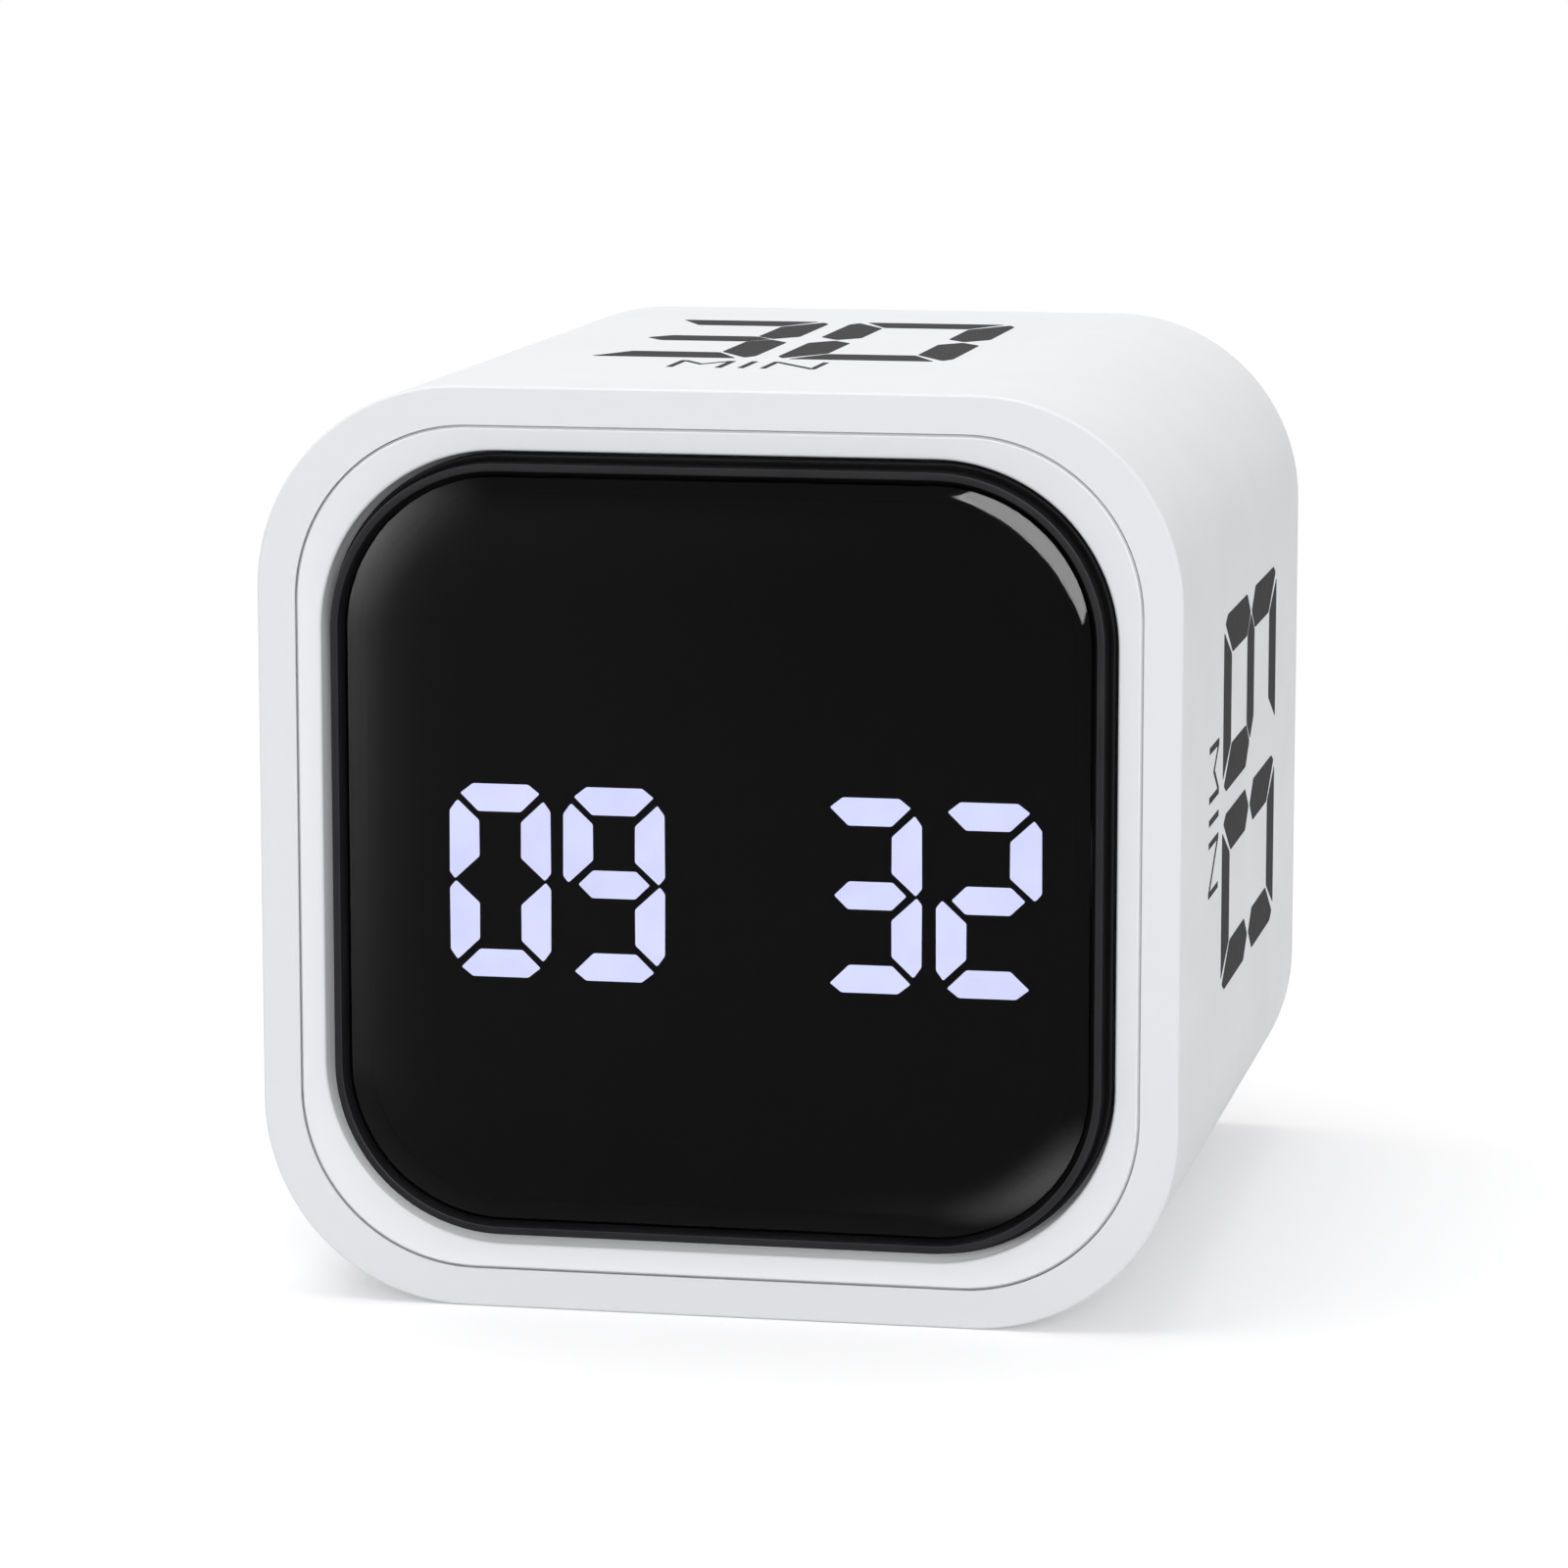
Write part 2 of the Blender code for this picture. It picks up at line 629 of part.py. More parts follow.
def side_rails():
    """Two rails on each side wall that guide the tray's ears from the rear."""
    front = TRAY_FRONT_DEPTH - SIDE_BOSS_LENGTH
    inner, outer = MOUTH.half_width - RAIL_HEIGHT, MOUTH.half_width + FUSE_BITE
    near = EAR_HALF_HEIGHT + SEAT_GAP
    far = near + RAIL_THICKNESS
    boxes = []
    for low_x, high_x in ((-outer, -inner), (inner, outer)):
        for low_z, high_z in ((-far, -near), (near, far)):
            boxes.append(((low_x, front, low_z), (high_x, front + RAIL_LENGTH, high_z)))
    return boxes


def make_front_frame(assembly):
    """White frame in the front mouth: sloping face, floor, skirt and posts."""
    sections = [
        (FLOOR_FRONT, WINDOW), (FRAME_FACE_SLOPE, WINDOW), (0, FRAME), (FRAME_SEAT_DEPTH, FRAME),
        (FRAME_SEAT_DEPTH, SKIRT), (SKIRT_DEPTH, SKIRT), (SKIRT_DEPTH, SKIRT_INNER),
        (FLOOR_REAR, SKIRT_INNER),
    ]
    frame = assembly.part("front_frame", loft("front_frame", sections, BODY_ARC), "white_plastic")
    window = reflector_outline().grown(SEAT_GAP)
    opening = rounded_block(
        "window", window, FLOOR_FRONT - CUT_OVERRUN, FLOOR_REAR + CUT_OVERRUN, 1
    )
    assembly.cut(frame, opening, (DISPLAY_X, 0, DISPLAY_Z))
    posts = four_places(FRAME_POST_X, FRAME_POST_Z)
    post_front = FLOOR_REAR - FUSE_BITE
    assembly.fuse(frame, rods("posts", posts, POST_RADIUS, post_front, REFLECTOR_REAR, HOLE_SIDES))
    bore_rear = REFLECTOR_REAR + CUT_OVERRUN
    assembly.cut(frame, rods("pilots", posts, PILOT_RADIUS, FLOOR_REAR, bore_rear, SCREW_SIDES))
    assembly.fuse(frame, snap_hooks())


def snap_hooks():
    """Ramped hooks on the skirt that catch behind the body's ledge."""
    shape = bmesh.new()
    front = LEDGE_REAR + SEAT_GAP
    rear = front + HOOK_LENGTH
    for across, reach in ((False, SKIRT.half_width), (True, SKIRT.half_height)):
        for side in (-1, 1):
            near, far = side * (reach - FUSE_BITE), side * (reach + HOOK_PROUD)
            low, high = min(near, far), max(near, far)
            if across:
                corners = add_block(shape, (-HOOK_WIDTH / 2, front, low), (HOOK_WIDTH / 2, rear, high))
            else:
                corners = add_block(shape, (low, front, -HOOK_WIDTH / 2), (high, rear, HOOK_WIDTH / 2))
            for corner in corners:
                proud = abs(corner.co.z if across else corner.co.x) > reach
                if proud and corner.co.y > (front + rear) / 2:
                    inward = Vector((0, 0, side)) if across else Vector((side, 0, 0))
                    corner.co -= inward * HOOK_PROUD / 2
    return to_mesh("hooks", shape)


def make_bezel_ring(assembly):
    """Black ring with a rounded crest, a foot in the moat and a lens ledge."""
    foot_rear = MOAT_DEPTH + BEZEL_FOOT_THICKNESS
    crest_radius = CREST_WIDTH / 2
    outside = edge_round(-CREST_PROUD, 1, BEZEL, crest_radius, EDGE_ARC)
    inside = edge_round(-CREST_PROUD, 1, BEZEL_INNER, crest_radius, EDGE_ARC, spread=1)
    sections = [
        (foot_rear, BEZEL_FOOT), (MOAT_DEPTH, BEZEL_FOOT), (MOAT_DEPTH, BEZEL),
        *outside, *reversed(inside[:-1]),
        (MOAT_DEPTH, BEZEL_INNER), (MOAT_DEPTH, BEZEL_OPENING), (foot_rear, BEZEL_OPENING),
    ]
    ring = loft("bezel_ring", sections, BODY_ARC, closed=True)
    assembly.part("bezel_ring", ring, "black_plastic")


def make_display_lens(assembly):
    """Smoked lens: upright edge, then a dome that flattens to its crown."""
    sections = [(LENS_REAR, LENS), (LENS_EDGE_DEPTH, LENS)]
    rise = LENS_EDGE_DEPTH + LENS_PROUD
    for step in range(1, DOME_STEPS + 1):
        share = (step / DOME_STEPS) ** 2
        depth = LENS_EDGE_DEPTH - rise * (1 - (1 - share) ** DOME_POWER)
        sections.append((depth, LENS.grown(-DOME_WIDTH * share)))
    assembly.part("display_lens", loft("display_lens", sections, BODY_ARC), "black_lens")


def make_diffuser_sheet(assembly):
    """Thin film that spreads the light of the digits."""
    front = DIFFUSER_REAR - DIFFUSER_THICKNESS
    sheet = rounded_block("diffuser_sheet", DIFFUSER, front, DIFFUSER_REAR, SMALL_ARC)
    assembly.part("diffuser_sheet", sheet, "diffusing_film")


def reflector_outline():
    """Outline of the block that holds the digits' light wells."""
    digits_half = PAIR_GAP / 2 + DIGIT_PITCH + DIGIT_WIDTH / 2
    digits = Outline(digits_half, DIGIT_HEIGHT / 2, SHARPEST_RADIUS)
    return digits.grown(REFLECTOR_MARGIN)


def digit_centres():
    """X of the four digits, counted from the middle of the display."""
    near = PAIR_GAP / 2
    far = near + DIGIT_PITCH
    return (-far, -near, near, far)


def digit_segments():
    """The seven bars of a digit as (x, z, upright, length)."""
    column = (DIGIT_WIDTH - SEGMENT_THICKNESS) / 2
    row = (DIGIT_HEIGHT - SEGMENT_THICKNESS) / 2
    setback = SEGMENT_GAP * math.sqrt(2)
    bars = [(0, z, False, 2 * column - setback) for z in (-row, 0, row)]
    for x in (-column, column):
        bars += [(x, side * row / 2, True, row - setback) for side in (-1, 1)]
    return bars


def bar_corners(x, z, upright, length, share):
    """Corners of a bar with pointed ends, drawn in to a share of its size."""
    tip = length / 2 * share
    half = SEGMENT_THICKNESS / 2 * share
    shoulder = tip - half
    around = (
        (tip, 0), (shoulder, half), (-shoulder, half), (-tip, 0), (-shoulder, -half), (shoulder, -half)
    )
    if upright:
        return [(x - across, z + along) for along, across in around]
    return [(x + along, z + across) for along, across in around]


def make_digit_reflector(assembly):
    """White block with a tapered light well for each bar of each digit."""
    block = rounded_block("digit_reflector", reflector_outline(), FLOOR_FRONT, REFLECTOR_REAR, 1)
    place = (DISPLAY_X, 0, DISPLAY_Z)
    reflector = assembly.part("digit_reflector", block, "reflector_plastic", place)
    wells = bmesh.new()
    front, rear = FLOOR_FRONT - CUT_OVERRUN, REFLECTOR_REAR + CUT_OVERRUN
    for centre in digit_centres():
        for x, z, upright, length in digit_segments():
            wide = bar_corners(centre + x, z, upright, length, 1.0)
            narrow = bar_corners(centre + x, z, upright, length, WELL_TAPER_SHARE)
            levels = ((front, wide), (FLOOR_FRONT, wide), (REFLECTOR_REAR, narrow), (rear, narrow))
            rings = []
            for depth, corners in levels:
                rings.append([wells.verts.new((across, depth, up)) for across, up in corners])
            skin(wells, rings)
            wells.faces.new(rings[0])
            wells.faces.new(rings[-1])
    assembly.cut(reflector, to_mesh("wells", wells), place)


def make_display_board(assembly):
    """Board behind the reflector, with one light-emitting chip per well."""
    front, rear = DISPLAY_BOARD_FRONT, DISPLAY_BOARD_REAR
    mesh = rounded_block("display_board", DISPLAY_BOARD, front, rear, SMALL_ARC)
    board = assembly.part("display_board", mesh, "circuit_board")
    posts = four_places(FRAME_POST_X, FRAME_POST_Z)
    holes = rods("holes", posts, PILOT_RADIUS, front - CUT_OVERRUN, rear + CUT_OVERRUN, SCREW_SIDES)
    assembly.cut(board, holes)
    boxes = []
    for centre in digit_centres():
        for x, z, upright, _ in digit_segments():
            half_x, half_z = LED_LENGTH / 2, LED_WIDTH / 2
            if upright:
                half_x, half_z = half_z, half_x
            low = (centre + x - half_x, front - LED_HEIGHT, z - half_z)
            high = (centre + x + half_x, front + LED_HEIGHT / 2, z + half_z)
            boxes.append((low, high))
    assembly.fuse(board, blocks("light_chips", boxes), (DISPLAY_X, 0, DISPLAY_Z))
    for number, post in enumerate(posts, 1):
        make_screw(assembly, f"display_screw_{number}", post, rear + SEAT_GAP, -1, BOARD_SCREW_LENGTH)


def make_display_parts(assembly):
    """Ribbon connector and driver chip on the rear of the display board."""
    seat = DISPLAY_BOARD_REAR + SEAT_GAP
    place = display_place(DISPLAY_CONNECTOR_SHARE)
    size = (CONNECTOR_WIDTH, CONNECTOR_HEIGHT)
    make_chip(assembly, "display_connector", place, size, seat, seat + CONNECTOR_DEPTH, "connector_plastic")
    place = display_place(DISPLAY_DRIVER_SHARE)
    size = (DRIVER_WIDTH, DRIVER_HEIGHT)
    make_chip(assembly, "display_driver", place, size, seat, seat + DRIVER_DEPTH, "chip_resin")


def display_place(share):
    """Place on the display board from shares of its half sizes."""
    return DISPLAY_BOARD.half_width * share[0], DISPLAY_BOARD.half_height * share[1]


def make_chip(assembly, name, place, size, front, rear, finish):
    """Small bevelled body soldered to a board at an (x, z) place."""
    outline = Outline(size[0] / 2, size[1] / 2, CHIP_BEVEL)
    x, z = place
    mesh = rounded_block(name, outline, front, rear, 1, CHIP_BEVEL / 2)
    return assembly.part(name, mesh, finish, (x, 0, z))


def make_screw(assembly, name, place, seat, pointing, length):
    """Pan-head screw whose head sits at a depth and whose shank points away.

    Pointing is 1 where the shank runs rearwards and -1 where it runs forwards.
    """
    profile = [
        (0, -HEAD_HEIGHT), (HEAD_RADIUS - HEAD_CHAMFER, -HEAD_HEIGHT),
        (HEAD_RADIUS, HEAD_CHAMFER - HEAD_HEIGHT), (HEAD_RADIUS, 0), (SHANK_RADIUS, 0),
        (SHANK_RADIUS, length - TIP_LENGTH), (SHANK_RADIUS / 2, length), (0, length),
    ]
    points = [(radius, seat + pointing * along) for radius, along in profile]
    if pointing > 0:
        points.reverse()
    turned_part(assembly, name, points, "zinc_screw", place, SCREW_SIDES)


def make_battery_tray(assembly):
    """Tray with ears on the side bosses, clips for the cell and a lead notch."""
    rim = TRAY_FLOOR_REAR + TRAY_RIM_DEPTH
    mesh = rounded_block("battery_tray", TRAY, TRAY_FRONT_DEPTH, rim, SMALL_ARC)
    tray = assembly.part("battery_tray", mesh, "gray_plastic")
    pocket_rear = CLIP_FRONT + CLIP_THICKNESS + CUT_OVERRUN
    pocket = rounded_block("pocket", TRAY_POCKET, TRAY_FLOOR_REAR, pocket_rear, SMALL_ARC)
    assembly.cut(tray, pocket)
    inner, outer = TRAY_POCKET.half_width + FUSE_BITE, MOUTH.half_width - SEAT_GAP
    ears = []
    for low_x, high_x in ((-outer, -inner), (inner, outer)):
        low = (low_x, TRAY_FRONT_DEPTH, -EAR_HALF_HEIGHT)
        ears.append((low, (high_x, TRAY_FLOOR_REAR, EAR_HALF_HEIGHT)))
    assembly.fuse(tray, blocks("ears", ears))
    assembly.fuse(tray, tray_clips())
    notch_x, _ = lead_place()
    low = (notch_x - LEAD_NOTCH_WIDTH / 2, TAPE_FRONT, TRAY_POCKET.half_height - FUSE_BITE)
    high = (notch_x + LEAD_NOTCH_WIDTH / 2, pocket_rear, TRAY.half_height + CUT_OVERRUN)
    assembly.cut(tray, blocks("lead_notch", [(low, high)]))
    screws = {"left": (-EAR_SCREW_X, 0), "right": (EAR_SCREW_X, 0)}
    front, rear = TRAY_FRONT_DEPTH - CUT_OVERRUN, TRAY_FLOOR_REAR + CUT_OVERRUN
    assembly.cut(tray, rods("holes", screws.values(), PILOT_RADIUS, front, rear, SCREW_SIDES))
    seat = TRAY_FLOOR_REAR + SEAT_GAP
    for side, place in screws.items():
        make_screw(assembly, f"tray_screw_{side}", place, seat, -1, BOARD_SCREW_LENGTH)


def make_battery_cell(assembly):
    """Pouch cell with rounded rims on a pad of foam tape."""
    tape = CELL.grown(-TAPE_INSET)
    mesh = rounded_block("foam_tape", tape, TAPE_FRONT, TAPE_FRONT + TAPE_THICKNESS, 1)
    assembly.part("foam_tape", mesh, "foam_tape")
    rim = CELL_EDGE_RADIUS / 2
    mesh = rounded_block("battery_cell", CELL, CELL_FRONT, CELL_REAR, SMALL_ARC, rim, SMALL_ARC)
    assembly.part("battery_cell", mesh, "battery_foil")


def tray_clips():
    """Arms above and below the cell, each with a lip that holds it in."""
    arm_front = TRAY_FLOOR_REAR + TRAY_RIM_DEPTH - FUSE_BITE
    rear = CLIP_FRONT + CLIP_THICKNESS
    inner, outer = TRAY_POCKET.half_height, TRAY.half_height
    lip = inner - SEAT_GAP - CLIP_LIP
    hook = (
        (inner, arm_front), (outer, arm_front), (outer, rear), (lip, rear),
        (lip, CLIP_FRONT), (inner, CLIP_FRONT),
    )
    shape = bmesh.new()
    for side in (-1, 1):
        ring = [shape.verts.new((-CLIP_WIDTH / 2, depth, side * z)) for z, depth in hook]
        moved = bmesh.ops.extrude_face_region(shape, geom=[shape.faces.new(ring)])["geom"]
        corners = [item for item in moved if isinstance(item, bmesh.types.BMVert)]
        bmesh.ops.translate(shape, verts=corners, vec=(CLIP_WIDTH, 0, 0))
    return to_mesh("clips", shape)


def lead_place():
    """Where the battery's plug stands on the main board."""
    return rear_place(FRONT_SIDE_SHARES["battery_connector"])


def smooth_route(points, steps):
    """Points of a smooth curve through the given ones, with steps to a span."""
    padded = [points[0], *points, points[-1]]
    route = []
    for before, start, end, after in zip(padded, padded[1:], padded[2:], padded[3:]):
        for step in range(steps):
            t = step / steps
            curve = 2 * start + (end - before) * t
            curve += (2 * before - 5 * start + 4 * end - after) * t * t
            curve += (3 * start - before - 3 * end + after) * t ** 3
            route.append(curve / 2)
    return [*route, points[-1]]


def make_battery_leads(assembly):
    """Red and black leads from the cell's end to its plug on the main board."""
    plug_x, plug_z = lead_place()
    start_depth = (CELL_FRONT + CELL_REAR) / 2
    end_depth = FRONT_PART_SEAT - BATTERY_PLUG_DEPTH - SEAT_GAP
    straight = (end_depth - CELL_REAR) * LEAD_STRAIGHT_SHARE
    top = TRAY.half_height + LEAD_RISE
    for name, side in (("red", -1), ("black", 1)):
        x = plug_x + side * LEAD_SPACING / 2
        route = [
            Vector((x, start_depth, CELL.half_height + SEAT_GAP)),
            Vector((x, start_depth, TRAY.half_height)),
            Vector((x, CELL_REAR, top)),
            Vector((x, (CELL_REAR + end_depth) / 2, (top + plug_z) / 2)),
            Vector((x, end_depth - straight, plug_z)),
            Vector((x, end_depth, plug_z)),
        ]
        points = smooth_route(route, LEAD_STEPS)
        make_tube(assembly, f"battery_lead_{name}", points, f"{name}_insulation")


def make_tube(assembly, name, points, finish):
    """Round wire along a route, as a bevelled curve turned into a mesh."""
    curve = bpy.data.curves.new(name, "CURVE")
    curve.dimensions = "3D"
    curve.bevel_depth = LEAD_RADIUS
    curve.bevel_resolution = 2
    curve.use_fill_caps = True
    spline = curve.splines.new("POLY")
    spline.points.add(len(points) - 1)
    for point, place in zip(spline.points, points):
        point.co = (*place, 1.0)
    guide = bpy.data.objects.new(f"{name}_route", curve)
    assembly.tools.objects.link(guide)
    bpy.context.view_layer.update()
    evaluated = guide.evaluated_get(bpy.context.evaluated_depsgraph_get())
    mesh = bpy.data.meshes.new_from_object(evaluated)
    bpy.data.objects.remove(guide, do_unlink=True)
    mesh.materials.clear()
    shape = bmesh.new()
    shape.from_mesh(mesh)
    bmesh.ops.remove_doubles(shape, verts=shape.verts, dist=MERGE_DISTANCE)
    bpy.data.meshes.remove(mesh)
    assembly.part(name, to_mesh(name, shape), finish)


def make_display_ribbon(assembly):
    """Flat ribbon that rises over the battery and joins the two boards."""
    front_z = DISPLAY_BOARD.half_height * DISPLAY_CONNECTOR_SHARE[1]
    _, rear_z = rear_place(FRONT_SIDE_SHARES["ribbon_connector"])
    run_z = TRAY.half_height + RIBBON_CLEARANCE
    front = DISPLAY_BOARD_REAR + SEAT_GAP + CONNECTOR_DEPTH + SEAT_GAP
    rear = FRONT_PART_SEAT - CONNECTOR_DEPTH - SEAT_GAP
    strip = bmesh.new()
    edges = []
    for step in range(RIBBON_STEPS + 1):
        depth = front + (rear - front) * step / RIBBON_STEPS
        rise = ease((depth - front) / RIBBON_BEND)
        fall = ease((rear - depth) / RIBBON_BEND)
        z = run_z - (run_z - front_z) * (1 - rise) - (run_z - rear_z) * (1 - fall)
        edges.append([strip.verts.new((side * RIBBON_WIDTH / 2, depth, z)) for side in (-1, 1)])
    for first, second in zip(edges, edges[1:]):
        strip.faces.new((first[0], first[1], second[1], second[0]))
    ribbon = assembly.part("display_ribbon", to_mesh("display_ribbon", strip), "ribbon_film")
    thick = ribbon.modifiers.new("thickness", "SOLIDIFY")
    thick.thickness = RIBBON_THICKNESS
    thick.offset = 0


def ease(share):
    """Smooth rise from 0 to 1 that starts and ends level."""
    share = min(max(share, 0.0), 1.0)
    return share * share * (3 - 2 * share)


def make_main_board(assembly):
    """Main board with notches for the screw towers, and its four screws."""
    mesh = rounded_block("main_board", MAIN_BOARD, MAIN_BOARD_FRONT, MAIN_BOARD_REAR, SMALL_ARC)
    board = assembly.part("main_board", mesh, "circuit_board")
    front, rear = MAIN_BOARD_FRONT - CUT_OVERRUN, MAIN_BOARD_REAR + CUT_OVERRUN
    near_x = TOWER_X - TOWER_RADIUS - MAIN_BOARD_CLEARANCE
    near_z = TOWER_Z - TOWER_RADIUS - MAIN_BOARD_CLEARANCE
    far_x, far_z = MAIN_BOARD.half_width + CUT_OVERRUN, MAIN_BOARD.half_height + CUT_OVERRUN
    notches = []
    for low_x, high_x in ((-far_x, -near_x), (near_x, far_x)):
        for low_z, high_z in ((-far_z, -near_z), (near_z, far_z)):
            notches.append(((low_x, front, low_z), (high_x, rear, high_z)))
    assembly.cut(board, blocks("notches", notches))
    posts = [rear_place(share) for share in POST_SHARES]
    assembly.cut(board, rods("holes", posts, PILOT_RADIUS, front, rear, SCREW_SIDES))
    for number, post in enumerate(posts, 1):
        make_screw(assembly, f"board_screw_{number}", post, FRONT_PART_SEAT, 1, BOARD_SCREW_LENGTH)


def make_board_parts(assembly):
    """Chips, connectors and the vibration motor on the main board's front side."""
    chips = {
        "ribbon_connector": (CONNECTOR_WIDTH, CONNECTOR_HEIGHT, CONNECTOR_DEPTH),
        "battery_connector": (BATTERY_PLUG_WIDTH, BATTERY_PLUG_HEIGHT, BATTERY_PLUG_DEPTH),
        "microcontroller": (CONTROLLER_SIDE, CONTROLLER_SIDE, CONTROLLER_DEPTH),
        "charger_chip": (CHARGER_SIDE, CHARGER_SIDE, CHARGER_DEPTH),
        "tilt_sensor": (TILT_SENSOR_SIDE, TILT_SENSOR_SIDE, TILT_SENSOR_DEPTH),
    }
    seat = FRONT_PART_SEAT
    for name, (width, height, depth) in chips.items():
        finish = "connector_plastic" if name.endswith("connector") else "chip_resin"
        place = rear_place(FRONT_SIDE_SHARES[name])
        make_chip(assembly, name, place, (width, height), seat - depth, seat, finish)
    motor = [(0, seat), (MOTOR_RADIUS, seat), (MOTOR_RADIUS, seat - MOTOR_DEPTH), (0, seat - MOTOR_DEPTH)]
    place = rear_place(FRONT_SIDE_SHARES["vibration_motor"])
    turned_part(assembly, "vibration_motor", motor, "plated_steel", place, ROUND_SIDES)


def make_buzzer(assembly):
    """Round sounder behind the sound holes, with a hole in its own top."""
    rear = REAR_PART_SEAT + BUZZER_DEPTH
    profile = [
        (0, rear - BUZZER_HOLE_RADIUS), (BUZZER_HOLE_RADIUS, rear - BUZZER_HOLE_RADIUS),
        (BUZZER_HOLE_RADIUS, rear), (BUZZER_RADIUS - CHIP_BEVEL, rear),
        (BUZZER_RADIUS, rear - CHIP_BEVEL), (BUZZER_RADIUS, REAR_PART_SEAT), (0, REAR_PART_SEAT),
    ]
    turned_part(assembly, "buzzer", profile, "black_plastic", rear_place(BUZZER_SHARE), ROUND_SIDES)


def make_rear_cover(assembly):
    """Recessed rear panel with screw seats, posts and a collar."""
    rim = edge_round(COVER_REAR, -1, FRAME, COVER_EDGE_RADIUS, COVER_EDGE_ARC)
    mesh = loft("rear_cover", [(COVER_FRONT, FRAME), *rim], BODY_ARC)
    cover = assembly.part("rear_cover", mesh, "white_plastic")
    posts = [rear_place(share) for share in POST_SHARES]
    middle = (COVER_FRONT + COVER_REAR) / 2
    assembly.fuse(cover, rods("posts", posts, POST_RADIUS, POST_FRONT, middle, HOLE_SIDES))
    bore_front = POST_FRONT - CUT_OVERRUN
    assembly.cut(cover, rods("bores", posts, PILOT_RADIUS, bore_front, COVER_FRONT, SCREW_SIDES))
    add_collar(assembly, cover, middle)
    front, rear = COVER_FRONT - CUT_OVERRUN, COVER_REAR + CUT_OVERRUN
    towers = four_places(TOWER_X, TOWER_Z)
    assembly.cut(cover, rods("screw_holes", towers, PILOT_RADIUS, front, rear, SCREW_SIDES))
    seat = COVER_REAR - COUNTERBORE_DEPTH
    head_hole = HEAD_RADIUS + SEAT_GAP
    assembly.cut(cover, rods("counterbores", towers, head_hole, seat, rear, HOLE_SIDES))
    cut_cover_openings(assembly, cover, front, rear)


def add_collar(assembly, cover, root):
    """Short ring inside the cover that leads the sound to its holes."""
    inner = BUZZER_RADIUS + COLLAR_CLEARANCE
    front = COVER_FRONT - COLLAR_LENGTH
    places = [rear_place(BUZZER_SHARE)]
    assembly.fuse(cover, rods("collar", places, inner + COLLAR_WALL, front, root, ROUND_SIDES))
    bore_front = front - CUT_OVERRUN
    assembly.cut(cover, rods("collar_bore", places, inner, bore_front, COVER_FRONT, ROUND_SIDES))


def cut_cover_openings(assembly, cover, front, rear):
    """Holes for the buttons, the slider, the socket and the sound."""
    buttons = [rear_place(share) for share in BUTTON_SHARES.values()]
    button_hole = BUTTON_RADIUS + SEAT_GAP
    assembly.cut(cover, rods("button_holes", buttons, button_hole, front, rear, ROUND_SIDES))
    slot_half = SLIDER_GRIP_LENGTH / 2 + SLIDER_TRAVEL + SEAT_GAP
    slot = Outline(slot_half, SLIDER_GRIP_HEIGHT / 2 + SEAT_GAP, SHARPEST_RADIUS)
    port = socket_outline().grown(SEAT_GAP)
    tools = (
        (rounded_block("slot", slot, front, rear, 1), SLIDER_SHARE),
        (rounded_block("port", port, front, rear, SOCKET_ARC), USB_SHARE),
        (rods("sound_holes", sound_holes(), SOUND_HOLE_RADIUS, front, rear, SMALL_SIDES), BUZZER_SHARE),
    )
    for tool, share in tools:
        x, z = rear_place(share)
        assembly.cut(cover, tool, (x, 0, z))


def sound_holes():
    """One hole in the middle and a ring of holes round it."""
    holes = [(0, 0)]
    for number in range(SOUND_HOLE_COUNT):
        angle = math.radians(360) * number / SOUND_HOLE_COUNT
        holes.append((SOUND_HOLE_PITCH * math.cos(angle), SOUND_HOLE_PITCH * math.sin(angle)))
    return holes


def make_cover_screws(assembly):
    """Screws that hold the rear cover to the body's four towers."""
    seat = COVER_REAR - COUNTERBORE_DEPTH + SEAT_GAP
    for number, place in enumerate(four_places(TOWER_X, TOWER_Z), 1):
        make_screw(assembly, f"cover_screw_{number}", place, seat, -1, COVER_SCREW_LENGTH)


def make_button(assembly, name, place):
    """Push button, the plunger it rests on and the switch that holds that."""
    rear = COVER_REAR + BUTTON_PROUD
    flange_front = FLANGE_REAR - FLANGE_THICKNESS
    tact_rear = REAR_PART_SEAT + TACT_DEPTH
    plunger_rear = tact_rear + PLUNGER_PROUD
    plunger_front = plunger_rear - PLUNGER_LENGTH
    flange_radius = BUTTON_RADIUS + BUTTON_FLANGE
    cap = [
        (0, rear - BUTTON_DISH), (BUTTON_RADIUS / 2, rear - BUTTON_DISH * 3 / 4),
        (BUTTON_RADIUS - BUTTON_EDGE, rear), (BUTTON_RADIUS, rear - BUTTON_EDGE),
        (BUTTON_RADIUS, FLANGE_REAR), (flange_radius, FLANGE_REAR), (flange_radius, flange_front),
        (STEM_RADIUS, flange_front), (STEM_RADIUS, plunger_rear + SEAT_GAP), (0, plunger_rear + SEAT_GAP),
    ]
    turned_part(assembly, f"button_{name}", cap, "gray_plastic", place, ROUND_SIDES)
    plunger = [
        (0, plunger_rear), (PLUNGER_RADIUS, plunger_rear),
        (PLUNGER_RADIUS, plunger_front), (0, plunger_front),
    ]
    turned_part(assembly, f"plunger_{name}", plunger, "black_plastic", place, HOLE_SIDES)
    x, z = place
    outline = Outline(TACT_SIDE / 2, TACT_SIDE / 2, CHIP_BEVEL)
    mesh = rounded_block(f"tact_switch_{name}", outline, REAR_PART_SEAT, tact_rear, 1)
    switch = assembly.part(f"tact_switch_{name}", mesh, "plated_steel", (x, 0, z))
    bore_front = plunger_front - BUTTON_TRAVEL - SEAT_GAP
    bore = rods(
        "bore", [(0, 0)], PLUNGER_RADIUS + SEAT_GAP, bore_front, tact_rear + CUT_OVERRUN, HOLE_SIDES
    )
    assembly.cut(switch, bore, (x, 0, z))


